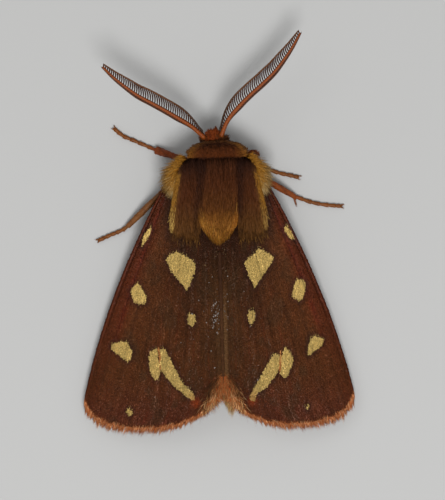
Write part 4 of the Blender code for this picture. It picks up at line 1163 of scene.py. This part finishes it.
# %% Middle panel
rng = np.random.default_rng(61)
count = 4700
y0 = rng.uniform(1.0, 6.45, count)
s = rng.uniform(-1, 1, count)
x0 = np.where(s < 0, s * (groove_x(y0, -1) - 0.02), s * (groove_x(y0, 1) - 0.02))
starts = stack(x0, y0)
limit = -0.3 + 1.1 * np.abs(x0 / 1.65) ** 2.5
y1 = np.maximum(y0 - rng.uniform(1.0, 1.7, count), limit + rng.exponential(0.12, count))
x1 = x0 * (1 - 0.42 * step(3.0, 0.0, y1)) + rng.normal(0, 0.09, count)
x1 = x1 + 0.13 * x0 * step(3.8, 5.6, y0)
ends = stack(x1, y1)
depth = rng.uniform(0.0, 0.32, count)
combed(
    "coat_back", coat_top, starts, ends, depth, 0.032, tints_at(coat_top, starts, rng, 0.8),
    tints_at(coat_top, ends, rng, 1.15), 62, share=0.4)

# %% Golden tuft over the wings
def tuft_top(x, y):
    return coat_top(x, y) - 0.25 * step(0.3, -1.2, y)


count = 3200
rng = np.random.default_rng(63)
s = rng.uniform(-1, 1, count)
tip_x = 1.48 * s - 0.12 * (1 - np.abs(s))
tip_y = -1.27 + 0.86 * np.abs(tip_x) ** 1.85
y0 = tip_y + rng.uniform(0.9, 2.4, count)
starts = stack(np.clip(1.35 * tip_x, -groove_x(y0, -1), 1.62), y0)
tips = stack(tip_x, tip_y)
reach = 1 - 0.6 * rng.random(count) ** 1.5
ends = starts + (tips - starts) * reach[:, None] + rng.normal(0, 0.05, (count, 2))
depth = rng.uniform(0.0, 0.5, count) ** 1.3
golden = mix("#6a3d12", "#93621e", rng.random(count))
golden = mix(golden, "#854812", 0.4 * step(0.3, 0.9, s))
brown = tints_at(coat_top, starts, rng)
ripe = step(1.2, 0.1, ends[:, 1] - 0.25 * np.abs(s) + rng.normal(0, 0.2, count))
golden = mix(brown, golden, ripe)
golden = mix(golden, "#b8863e", 0.55 * (rng.random(count) < 0.12))
golden = golden * (1 + rng.normal(0, 0.1, count))[:, None]
combed(
    "coat_tuft", tuft_top, starts, ends, depth, 0.03, mix(brown, golden, 0.5) * 0.8,
    golden * 1.15, 64, share=0.3)

# %% Flaps over the wing roots
for side, sign in SIDES.items():
    rng = np.random.default_rng(65)
    count = 5100
    y0 = rng.uniform(0.2, 6.4, count)
    inner = groove_x(y0, sign) + 0.04
    x0 = inner + (flap_edge(y0) - 0.1 - inner) * rng.random(count)
    y0 = np.minimum(y0, 6.4 - 0.55 * step(1.8, 2.5, x0))
    limit = -1.15 + 0.5 * np.clip(x0 - 2.3, 0, 2) ** 2 + 0.45 * np.clip(2.25 - x0, 0, 1)
    limit = limit + rng.exponential(0.6, count)
    y1 = np.maximum(y0 - rng.uniform(1.1, 1.9, count), limit)
    x1 = x0 + 0.2 * (x0 - 2.4) + 0.1 * step(3.6, 5.4, y0)
    starts = stack(sign * x0, y0)
    ends = stack(sign * (x1 + rng.normal(0, 0.08, count)), y1)
    depth = rng.uniform(0.0, 0.36, count) + 0.25 * (rng.random(count) < 0.2)
    root_tints = tints_at(coat_top, starts, rng, 0.8)
    tip_tints = tints_at(coat_top, stack(sign * np.maximum(x1, inner + 0.15), y1), rng, 1.2)
    # The flap thins out over the wing, so its last hairs are darker, each by its own amount.
    tip_tints = tip_tints * (1 - rng.uniform(0, 0.6, count) * step(0.3, -1.0, y1))[:, None]
    combed(
        "coat_flap_" + side, coat_top, starts, ends, depth, 0.032, root_tints, tip_tints, 66,
        share=0.45, bow=sign * 0.12 * step(3.5, 5.4, y0))

# %% Pale edges and stray hair of the flaps
for side, sign in SIDES.items():
    # The pale hair along the flap's outer edge turns out over the wing.
    count = 1150
    rng = np.random.default_rng(67)
    y0 = 0.5 + 4.5 * rng.random(count) ** 1.35
    x0 = flap_edge(y0) - rng.uniform(-0.05, 0.26, count) * (0.5 + 0.5 * step(0.4, 1.6, y0))
    turn = rng.normal(0.2, 0.17, count) + 0.12 * step(3.6, 4.8, y0)
    reach = rng.uniform(0.3, 0.75, count)
    starts = stack(sign * x0, y0)
    ends = stack(sign * (x0 + reach * np.sin(turn)), y0 - reach * np.cos(turn))
    paler = 0.95 if side == "left" else 0.5
    pale = mix("#5e381a", "#cba758", paler * rng.random(count) ** 0.9)
    pale = mix(pale, "#8a5c1c", 0.85 * step(1.3, 2.6, y0))
    combed(
        "coat_flap_edge_" + side, coat_top, starts, ends, rng.uniform(-0.04, 0.4, count), 0.024,
        pale * 0.75, pale * 1.25, 67, share=0.3)

    # Thin stray hair past the flap's end, some of it dark and some bright.
    count = 400
    x0 = rng.uniform(1.7, 3.9, count)
    y0 = rng.uniform(-0.6, 1.0, count) + 0.35 * np.clip(x0 - 2.8, 0, 2)
    starts = stack(sign * x0, y0)
    ends = stack(sign * (x0 + rng.normal(0.06, 0.16, count)), y0 - rng.uniform(0.5, 1.2, count))
    stray = mix("#3c200f", "#8a602c", rng.random(count) ** 2.0)
    combed(
        "coat_flap_stray_" + side, coat_top, starts, ends, 0.15 + rng.uniform(0, 0.35, count), 0.019,
        stray * 0.8, stray * 1.1, 68, share=0.3)

# %% [markdown]
# ## Collar, shoulders, head and tail
# The ruff behind the head is combed back, and along its front rim the hair turns outward. The
# shoulders carry yellow hair that fans out in front of the wings. A short rust tuft stands on the
# brow between the antennae, and a brush of pale hair ends the abdomen.

# %% Collar
rng = np.random.default_rng(71)
count = 5300
turn = rng.uniform(0, 2 * math.pi, count)
far = rng.random(count) ** 0.5
north = np.where(np.sin(turn) > 0, np.sin(turn), 0.25 * np.sin(turn))
# Towards the rim the hair turns until it points outward.
rim = step(0.6, 0.92, far) * step(-0.5, 0.0, np.sin(turn))
inner = far - 0.25 * rim
x0 = RUFF_AT[0] + RUFF_SIZE[0] * inner * np.cos(turn)
y0 = RUFF_AT[1] + RUFF_SIZE[1] * inner * north
x1 = x0 + (x0 - 0.05) * 0.12 + rng.normal(0, 0.08, count)
y1 = np.maximum(y0 - rng.uniform(0.4, 0.9, count), 6.15 - rng.exponential(0.13, count))
outer = far + rng.uniform(-0.04, 0.06, count)
x1 = x1 + (RUFF_AT[0] + RUFF_SIZE[0] * outer * np.cos(turn) + rng.normal(0, 0.05, count) - x1) * rim
y1 = y1 + (RUFF_AT[1] + RUFF_SIZE[1] * outer * north - 0.05 - y1) * rim
starts, ends = stack(x0, y0), stack(x1, y1)
combed(
    "coat_collar", ruff_top, starts, ends, rng.uniform(-0.04, 0.3, count), 0.027,
    tints_at(ruff_top, starts, rng, 0.85, front=9), tints_at(ruff_top, ends, rng, 1.25, front=9), 72,
    share=0.25)


def collar_area(points, normals):
    x, y, z = points[:, 0], points[:, 1], points[:, 2]
    return (y > 6.0) * (y < 7.4) * (np.abs(x - 0.1) < 2.7) * (z > 2.2) * 1.0


def collar_lie(points, normals):
    x = points[:, 0] - 0.1
    return stack(0.8 * x, 0.2, -0.2)


grow_hair(
    "coat_neck", 3000, collar_area, collar_lie, lambda p: 0.45 + 0 * p[:, 0], 0.03, 0.45, 73)

# %% Shoulders
for side, sign in SIDES.items():
    rng = np.random.default_rng(74)
    count = 4200
    s = rng.random(count)
    layer = rng.random(count)
    angle = np.radians(8 - 76 * s - 24 * layer + rng.normal(0, 8, count))
    longest = 0.68 + 0.95 * step(0.0, 0.45, s) - 0.7 * step(0.65, 1.0, s)
    if side == "left":
        longest = longest * 1.18
    reach = longest * rng.uniform(0.5, 1.08, count) * (1 - 0.25 * layer ** 2)
    x0 = 2.48 + 0.78 * s ** 0.6 + rng.uniform(-0.1, 0.3, count)
    y0 = 6.08 - 2.2 * s + rng.normal(0, 0.12, count)
    y0 = y0 - 0.6 * layer * step(0.4, 0.0, s)
    belly = 4 * s * (1 - s)
    z0 = 4.4 - 1.15 * layer * (0.45 + 0.55 * belly)
    roots = stack(sign * x0, y0, z0)
    out = stack(sign * np.cos(angle), np.sin(angle), 0.0)
    t = np.linspace(0, 1, 3)[None, :, None]
    fall = -0.3 - 0.75 * layer ** 1.5 * (0.5 + 0.5 * belly) + rng.normal(0, 0.12, count)
    arch = 0.3 * (1 - 0.5 * layer)
    rise = arch[:, None] * 4 * t[..., 0] * (1 - t[..., 0]) + fall[:, None] * t[..., 0] ** 2
    paths = roots[:, None] + out[:, None] * reach[:, None, None] * t
    paths[..., 2] += rise
    paths = gather(paths, rng, 0.16, 8)
    tint = mix("#7c4a0c", "#a66e18", rng.random(count))
    bleached = (0.2 + 0.8 * s) * rng.random(count) ** 1.2
    tips = mix(tint, PALE_YELLOW * 1.1, np.clip(0.12 + 1.05 * bleached, 0, 1))
    blades(
        "coat_shoulder_" + side, paths, UP, rng.uniform(0.016, 0.026, count),
        tint * 0.75, tips, body_unwrap(roots))

    # Long bleached hairs stand out of it, mostly at its hind end.
    count = 420
    s = rng.uniform(0.2, 1.0, count)
    angle = np.radians(-6 - 66 * s + rng.normal(0, 13, count))
    reach = (0.85 + 0.85 * step(0.0, 0.45, s) - 0.4 * step(0.65, 1.0, s)) * rng.uniform(0.8, 1.12, count)
    roots = stack(
        sign * (2.8 + 0.6 * s ** 0.7), 5.95 - 2.2 * s + rng.normal(0, 0.12, count),
        4.45 - 0.7 * rng.random(count))
    out = stack(sign * np.cos(angle), np.sin(angle), rng.normal(-0.12, 0.12, count))
    paths = arcs(roots, out, UP, reach, 0.25)
    pale = mix("#a87a34", "#d8bc86", rng.random(count))
    blades(
        "coat_shoulder_stray_" + side, paths, UP, rng.uniform(0.012, 0.018, count),
        pale * 0.7, pale, body_unwrap(roots))

# %% Head and brow
def head_area(points, normals):
    return (points[:, 1] > 6.9) * 1.0


def head_lie(points, normals):
    """Forward on the crown and palps, down on the face."""
    x = points[:, 0] + 0.2
    face = step(0.1, 0.7, normals[:, 1]) * step(2.4, 2.7, points[:, 2])
    return stack((0.1 + 0.4 * face) * x, 1 - 0.6 * face, 0.3 - 1.5 * face)


grow_hair(
    "coat_head", 4600, head_area, head_lie, lambda p: 0.46 - 0.24 * step(7.9, 8.2, p[:, 1]), 0.02,
    0.9, 75)

# %% Brow
rng = np.random.default_rng(76)
count = 1500
s = rng.uniform(-1, 1, count) * rng.random(count) ** 0.3
x0 = -0.27 + 0.6 * s
y0 = rng.uniform(7.2, 7.95, count)
z0 = 4.14 - 0.35 * s ** 2 - 0.35 * (y0 - 7.2) + rng.uniform(-0.3, 0.08, count)
spike = np.exp(-((s - 0.33) / 0.13) ** 2)
y0 = y0 - 0.2 * s ** 2
reach = rng.uniform(0.3, 0.66, count) * (1 - 0.3 * s ** 2) + 0.16 * spike
tip_x = x0 + 0.16 * s - 0.2 * spike * (s - 0.33) + rng.normal(0, 0.05, count)
roots = stack(x0, y0, z0)
tips = stack(tip_x, y0 + reach, z0 + 0.1 + rng.normal(0, 0.08, count))
middle = (roots + tips) / 2 + np.array([0, 0, 0.14])
rust = mix("#6c2c10", "#a04c1a", rng.random(count))
paths = gather(np.stack([roots, middle, tips], axis=1), rng, 0.2)
blades(
    "coat_brow", paths, UP, rng.uniform(0.014, 0.024, count), rust * 0.7, rust * 1.1,
    body_unwrap(roots))

# %% Crown
# Brown hair fills the gap between the ruff and the brow and hides the roots of the antennae.
rng = np.random.default_rng(78)
count = 1300
x0 = rng.uniform(-1.15, 0.85, count)
y0 = rng.uniform(6.95, 7.45, count)
off = (x0 + 0.15) / 1.1
roots = stack(x0, y0, 4.05 - 0.6 * off ** 2 - rng.uniform(0, 0.35, count))
way = unit(stack(0.65 * off + rng.normal(0, 0.15, count), 0.8, rng.normal(0.2, 0.2, count)))
paths = arcs(roots, way, UP, rng.uniform(0.25, 0.72, count), 0.3)
brown = mix("#3c1e10", "#744420", rng.random(count) ** 1.2)
paths = gather(paths, rng, 0.2)
blades(
    "coat_crown", paths, UP, rng.uniform(0.016, 0.026, count), brown * 0.8, brown * 1.15,
    body_unwrap(roots))

# %% Tail tuft
# The abdomen ends in a brush of straight hair, longest on the right where it shows in the notch.
rng = np.random.default_rng(77)
count = 1900
roots, normals = scatter(skin_surface, count, lambda p, n: (p[:, 1] < -11.4) * 1.0, rng)
roots = roots - normals * 0.1
seen = np.exp(-((roots[:, 0] - 0.6) / 0.6) ** 2) * step(1.6, 2.2, roots[:, 2])
tips = stack(
    roots[:, 0] * 0.85 + 0.1 * seen + rng.normal(0, 0.08, count),
    -13.5 - 0.4 * rng.random(count) - 1.9 * seen * rng.random(count) ** 0.7,
    roots[:, 2] * 0.8 + 0.55 + rng.normal(0, 0.07, count))
middle = (roots + tips) / 2 + normals * 0.08
paths = gather(np.stack([roots, middle, tips], axis=1), rng, 0.25)
gold = mix("#8a5424", "#f0cc88", rng.random(count) ** 0.8 * (0.35 + 0.65 * seen))
blades(
    "coat_tail", paths, UP, rng.uniform(0.02, 0.032, count), gold * 0.8, gold * 1.1,
    body_unwrap(roots))

# %% [markdown]
# ## Eyes
# A moth's eye is a dark ball of thousands of lenses. The lenses are far too fine to model, so the
# ball is a sphere and a small cell pattern in its finish gives the faint grain.

# %% Eyes
HEAD_AT = np.array([-0.2, 7.15, 3.15])
HEAD_TURN = math.radians(7)
EYE_AT = (0.88, -0.2, -0.45)
EYE_RADIUS = 0.58

eye_lens, tree, shader = new_material("eye_lens_chitin", Roughness=0.2, Specular_IOR_Level=0.12)
shader.inputs["Base Color"].default_value = (*linear("#120b08"), 1.0)
place = add_node(tree, "ShaderNodeTexCoord")
cells = add_node(tree, "ShaderNodeTexVoronoi", {
    "Vector": place.outputs["Object"], "Scale": 1 / (0.04 * MM)})
relief = add_node(tree, "ShaderNodeBump", {
    "Height": cells.outputs["Distance"], "Strength": 0.15, "Distance": 0.003 * MM})
tree.links.new(relief.outputs["Normal"], shader.inputs["Normal"])

for side, sign in SIDES.items():
    x, y, z = EYE_AT
    beside = np.array([
        math.cos(HEAD_TURN) * sign * x - math.sin(HEAD_TURN) * y,
        math.sin(HEAD_TURN) * sign * x + math.cos(HEAD_TURN) * y, z])
    eye = stretched_sphere(HEAD_AT + beside, (EYE_RADIUS, EYE_RADIUS, EYE_RADIUS))
    eye.name = "eye_ball_" + side
    bpy.ops.object.transform_apply(location=True, rotation=True, scale=True)
    bpy.ops.object.shade_smooth()
    eye.data.materials.append(eye_lens)
    stand_in(eye, "eye", "eye_" + side)
    print(eye.name, "at", (HEAD_AT + beside).round(2))

# %% [markdown]
# ## Antennae
# A male's antenna is a comb with two rows of fine rays. One row fans out in front and the other
# hangs down behind the shaft, so from above it is only a dark line. The rays leave the shaft
# almost square and bend until their tips lie along each other in a fine dark edge.

# %% Lines of the shafts
ANTENNAE = {
    "left": [
        (-0.75, 7.4, 3.5), (-1.07, 7.73, 3.95), (-1.98, 8.57, 4.39), (-3.01, 9.24, 4.81),
        (-4.06, 9.88, 5.19), (-5.13, 10.5, 5.51), (-6.2, 11.1, 5.76), (-7.2, 11.83, 5.92),
        (-8.15, 12.62, 6.0), (-9.02, 13.5, 6.0),
    ],
    "right": [
        (0.25, 7.45, 3.5), (0.44, 7.81, 3.95), (1.01, 9.01, 4.11), (1.87, 10.02, 4.26),
        (2.82, 10.94, 4.4), (3.83, 11.8, 4.52), (4.81, 12.7, 4.61), (5.66, 13.71, 4.67),
        (6.44, 14.79, 4.7), (7.12, 15.93, 4.7),
    ],
}
SEGMENT = 0.215
SHAFT_RADIUS = 0.185
SHAFT_TIP_RADIUS = 0.1

# %% Bars along a line
def tube(name, points, radii, sides=3):
    """A round bar through these points, with a radius at each, closed at both ends."""
    pick()
    bpy.ops.curve.primitive_bezier_curve_add(location=(0, 0, 0))
    guide = bpy.context.object
    guide.data.splines.clear()
    spline = guide.data.splines.new("POLY")
    spline.points.add(len(points) - 1)
    for point, place, radius in zip(spline.points, to_room(points), radii):
        point.co = (*place, 1.0)
        point.radius = radius
    guide.data.bevel_depth = MM
    guide.data.bevel_resolution = sides
    guide.data.use_fill_caps = True
    pick(guide)
    bpy.ops.object.convert(target="MESH")
    bar = bpy.context.object
    bar.name = name
    bpy.ops.object.mode_set(mode="EDIT")
    bpy.ops.mesh.select_all(action="SELECT")
    bpy.ops.mesh.remove_doubles(threshold=1e-6)
    bpy.ops.mesh.normals_make_consistent(inside=False)
    bpy.ops.object.mode_set(mode="OBJECT")
    bpy.ops.object.shade_smooth()
    return bar


def resample(points, gap):
    """Even steps along a smooth curve through the points."""
    line = curve_through(points)(np.linspace(0, 1, 400))
    reach = np.concatenate([[0], np.cumsum(np.linalg.norm(np.diff(line, axis=0), axis=1))])
    even = np.arange(0, reach[-1], gap)
    return np.stack([np.interp(even, reach, line[:, k]) for k in range(3)], axis=1)

# %% Shafts
def ray_profile(t):
    """Length of the rays: short at the root and falling away towards the tip."""
    return (0.35 + 0.65 * step(0.0, 0.22, t)) * (1 - 0.75 * np.clip((t - 0.5) / 0.5, 0, 1) ** 1.5)


for side, sign in SIDES.items():
    rings = resample(ANTENNAE[side], SEGMENT / 4)
    t = np.linspace(0, 1, len(rings))
    swell = 1 + 0.08 * np.cos(np.arange(len(rings)) * math.pi / 2)
    base = 1 + 0.15 * step(0.1, 0.04, t)
    radii = (SHAFT_RADIUS + (SHAFT_TIP_RADIUS - SHAFT_RADIUS) * t) * swell * base
    shaft = tube("antenna_shaft_" + side, rings, radii)
    co = points_of(shaft.data)
    # Painted light and shade on the shaft: its orange-brown on top, near black underneath.
    high = np.interp(co[:, 1], rings[:, 1], rings[:, 2])
    upper = step(0.0, 0.12, co[:, 2] - high)
    orange = mix("#662a08", "#8c4612", step(-1, 1, ripple(co[:, 1] * 40, 81)))
    set_tint(shaft.data, mix("#2c150c", orange, upper))
    shaft.data.materials.append(cuticle)
    stand_in(shaft, "antenna", "antenna_" + side)
    print(shaft.name, len(rings), "rings")

# %% [markdown]
# Each joint of the shaft carries one ray of each row. A ray bends forward as it goes, and fine
# bristles stand along it and half close the gap to the next one. The dark edge runs along the
# rays' ends.

# %% Rays, bristles and edges
RAY_STEPS = 9
RAY_WIDTH = 0.066
BRISTLES = 14
EDGE_RADII = (0.085, 0.08, 0.055)
RAY_DARK = linear("#2c150d")
RAY_TIP = linear("#4a2413")

for side, sign in SIDES.items():
    nodes = resample(ANTENNAE[side], SEGMENT)[4:]
    along = unit(np.gradient(nodes, axis=0))
    front = unit(np.cross(UP, along)) * sign
    t = np.linspace(0, 1, len(nodes))
    rng = np.random.default_rng(82)
    for row, drop, reach, bend in (("front", 14, 1.3, 60), ("rear", 106, 1.0, 50)):
        down = math.radians(drop)
        out = front * math.cos(down) - UP * math.sin(down)
        place = nodes.copy()
        path = [place.copy()]
        for k in range(RAY_STEPS):
            lean = math.radians(76 - bend * ((k + 0.5) / RAY_STEPS) ** 1.2)
            way = along * math.cos(lean) + out * math.sin(lean)
            place = place + way * (reach * ray_profile(t) / RAY_STEPS)[:, None]
            path.append(place.copy())
        paths = np.stack(path, axis=1)
        count = len(nodes)
        unwrap = stack(0.02 + 0.96 * t, 0.3 if row == "front" else 0.7)
        blades(
            f"antenna_rays_{row}_{side}", paths, UP, RAY_WIDTH, RAY_DARK, RAY_TIP, unwrap)
        total = count * BRISTLES
        node, part = rng.integers(0, count, total), rng.integers(4, RAY_STEPS, total)
        away = rng.random(total)[:, None]
        start = paths[node, part] * (1 - away) + paths[node, part + 1] * away
        forth = along[node] * rng.choice([-1, 1], total)[:, None]
        aim = unit(forth + out[node] * rng.normal(0.5, 0.3, (total, 1)))
        blades(
            f"antenna_bristles_{row}_{side}",
            arcs(start, aim, UP, rng.uniform(0.07, 0.13, total), 0.0), UP, 0.013, RAY_DARK, RAY_TIP,
            unwrap[node])
        edge_line = np.concatenate([nodes[:1] - along[:1] * 0.3, paths[:, -2]])
        radii = np.interp(np.arange(count + 1), [0, 6, count], EDGE_RADII)
        edge = tube(f"antenna_edge_{row}_{side}", edge_line, radii, 2)
        outward = step(0, 20, np.arange(len(edge.data.vertices)) / 8.0)
        set_tint(edge.data, mix("#281606", "#56300c", outward))
        edge.data.materials.append(cuticle)
        stand_in(edge, "antenna")

# %% [markdown]
# ## Legs
# A moth's leg has a stout coxa at the body, a femur, a tibia with a spur and a foot of five short
# joints that ends in two claws. Cones and spheres are placed along it and fused. Short flat hair
# lies along it towards the foot.

# %% Leg measures
LEGS = {
    "leg_fore_left": dict(
        shin="#7a3814", shin_end=0.34, root=(-0.9, 5.0, 2.2), hip=(-1.35, 5.6, 1.35),
        knee=(-2.6, 5.9, 2.3), ankle=(-4.98, 6.85),
        foot=[(-5.65, 7.17), (-6.4, 7.52), (-7.05, 7.82), (-7.65, 8.08), (-8.1, 8.42), (-8.36, 8.68)]),
    "leg_fore_right": dict(
        shin="#7c4a22", knee_size=0.34, knee_from=(2.5, 6.2, 2.3), root=(0.9, 5.0, 2.2),
        hip=(1.35, 5.6, 1.35), knee=(3.15, 6.22, 2.3), ankle=(3.1, 5.35),
        foot=[(3.6, 5.2), (4.3, 5.0), (5.0, 4.72), (5.6, 4.55), (6.2, 4.42), (6.6, 4.3)]),
    "leg_mid_left": dict(
        shin="#7c4e28", spur=(-0.42, -0.5, -0.2), root=(-1.1, 3.5, 2.0), hip=(-1.7, 3.7, 1.15),
        knee=(-4.3, 3.6, 1.7), ankle=(-7.5, 0.68),
        foot=[(-8.0, 0.33), (-8.45, 0.15), (-8.9, -0.02), (-9.35, -0.2), (-9.7, -0.34), (-9.95, -0.45)]),
    "leg_mid_right": dict(
        shin="#84421a", spur=(0.2, -0.95, -0.2), root=(1.1, 3.5, 2.0), hip=(1.7, 3.7, 1.15),
        knee=(3.3, 4.5, 2.0), ankle=(6.3, 2.72),
        foot=[(7.0, 2.45), (7.7, 2.18), (8.4, 2.0), (9.1, 1.88), (9.7, 1.82), (10.1, 1.78)]),
    "leg_hind_left": dict(
        shin="#7e441c", spur=(-0.42, -0.5, -0.2), root=(-1.1, 1.7, 2.1), hip=(-1.6, 1.0, 1.2),
        knee=(-3.4, -0.6, 1.9), ankle=(-5.0, -4.6),
        foot=[(-5.3, -5.5), (-5.6, -6.5), (-5.85, -7.5), (-6.1, -8.3), (-6.3, -9.0), (-6.4, -9.5)]),
    "leg_hind_right": dict(
        shin="#7e441c", spur=(0.2, -0.95, -0.2), root=(1.1, 1.7, 2.1), hip=(1.6, 1.0, 1.2),
        knee=(3.4, -0.6, 1.9), ankle=(4.8, -4.7),
        foot=[(5.05, -5.6), (5.3, -6.6), (5.5, -7.6), (5.7, -8.4), (5.85, -9.1), (5.9, -9.6)]),
}
KNEE_SIZE = 0.29
SHIN_END = 0.22
FOOT_HIGH = 0.19
ANKLE_HIGH = 0.45
LEG_VOXEL = 0.055

# %% Limbs and joints
def limb(a, b, radius_a, radius_b, vertices=16):
    """A cone from a to b."""
    a, b = np.asarray(a, dtype=float), np.asarray(b, dtype=float)
    turn = Vector(b - a).to_track_quat("Z", "Y").to_euler()
    pick()
    bpy.ops.mesh.primitive_cone_add(
        vertices=vertices, radius1=radius_a * MM, radius2=radius_b * MM,
        depth=float(np.linalg.norm(b - a)) * MM, location=to_room((a + b) / 2), rotation=turn)
    return bpy.context.object


def joint_ball(place, radius):
    return stretched_sphere(place, (radius, radius, radius), segments=16, rings=12)


def leg_tint(points, chain, shin, rng):
    """Rust on the upper joints, the shin in its own colour, browner on the foot."""
    from_knee = np.linalg.norm(points[:, :2] - chain[2, :2], axis=1)
    from_body = np.linalg.norm(points[:, :2] - chain[1, :2], axis=1)
    below = step(0.0, 0.8, from_knee) * (from_body > np.linalg.norm(chain[2, :2] - chain[1, :2]))
    tint = mix("#7e3b12", linear(shin), below)
    tint = mix(tint, "#7c4617", step(0.5, 0.3, points[:, 2]) * (from_knee > 1.5))
    patchy = ripple(points[:, 0] * 4 + points[:, 1] * 3, 91)
    tint = mix(tint, "#4c2410", 0.5 * step(0.1, 1.0, patchy))
    return tint * (1 + rng.normal(0, 0.1, len(points)))[:, None]

# %% Six legs
limbs = {}
for name, leg in LEGS.items():
    rng = np.random.default_rng(92)
    ankle = (*leg["ankle"], ANKLE_HIGH)
    foot = [(*place, FOOT_HIGH) for place in leg["foot"]]
    chain = np.array([leg["root"], leg["hip"], leg["knee"], ankle] + foot)
    thigh, calf = (chain[1] + chain[2]) / 2, chain[3] * 0.6 + chain[2] * 0.4
    pieces = [
        limb(chain[0], chain[1], 0.42, 0.34), joint_ball(chain[1], 0.34),
        limb(chain[1], thigh, 0.26, 0.34), limb(thigh, chain[2], 0.34, 0.26),
        joint_ball(chain[2], leg.get("knee_size", KNEE_SIZE)), limb(chain[2], calf, 0.2, 0.27),
        limb(calf, chain[3], 0.27, leg.get("shin_end", SHIN_END)), joint_ball(chain[3], 0.21),
    ]
    if "knee_from" in leg:
        pieces.append(limb(leg["knee_from"], chain[2], 0.36, 0.36))
    for a, b in zip(chain[3:], chain[4:]):
        pieces.append(limb(a, b, 0.125, 0.185))
        pieces.append(joint_ball(b, 0.15))
    way = unit(chain[-1] - chain[-2])
    for turn in (-0.6, 0.6):
        c, s = math.cos(turn), math.sin(turn)
        out = np.array([way[0] * c - way[1] * s, way[0] * s + way[1] * c, 0.0])
        bend = chain[-1] + out * 0.24 + UP * 0.02
        pieces.append(limb(chain[-1], bend, 0.09, 0.06, 10))
        pieces.append(limb(bend - out * 0.02, bend + (out + way) * 0.1 - UP * 0.1, 0.06, 0.015, 10))
    if "spur" in leg:
        pieces.append(limb(ankle, np.array(ankle) + leg["spur"], 0.13, 0.03, 10))
    body = fuse(name + "_limb", pieces, LEG_VOXEL, 2)
    set_tint(body.data, leg_tint(points_of(body.data), chain, leg["shin"], rng) * 0.8)
    body.data.materials.append(cuticle)
    stand_in(body, "leg", name)
    limbs[name] = (body, chain, rng)

# %% Hair of the legs
for name, (body, chain, rng) in limbs.items():
    count = 900
    roots, normals = scatter(surface_of(body), count, lambda p, n: (p[:, 2] > 0.08) * 1.0, rng)
    middles = (chain[:-1] + chain[1:]) / 2
    ways = unit(chain[1:] - chain[:-1])
    near = ((roots[:, None] - middles[None]) ** 2).sum(axis=2).argmin(axis=1)
    way = ways[near] + rng.normal(0, 0.12, (count, 3))
    way = unit(way - normals * (way * normals).sum(axis=1)[:, None])
    lengths = np.where(near > 2, 0.18, 0.3) * rng.uniform(0.8, 1.2, count)
    paths = arcs(roots - normals * 0.02, way, normals, lengths, 0.25)
    paths[..., 2] = np.maximum(paths[..., 2], 0.01)
    tint = leg_tint(roots, chain, LEGS[name]["shin"], rng)
    angle = np.arctan2(normals[:, 0], normals[:, 2])
    unwrap = stack(0.02 + 0.96 * near / len(middles), 0.5 + 0.4 * angle / 3.2)
    blades(
        name + "_hair", paths, normals, rng.uniform(0.02, 0.034, count), tint * 0.8,
        tint * 1.25, unwrap)
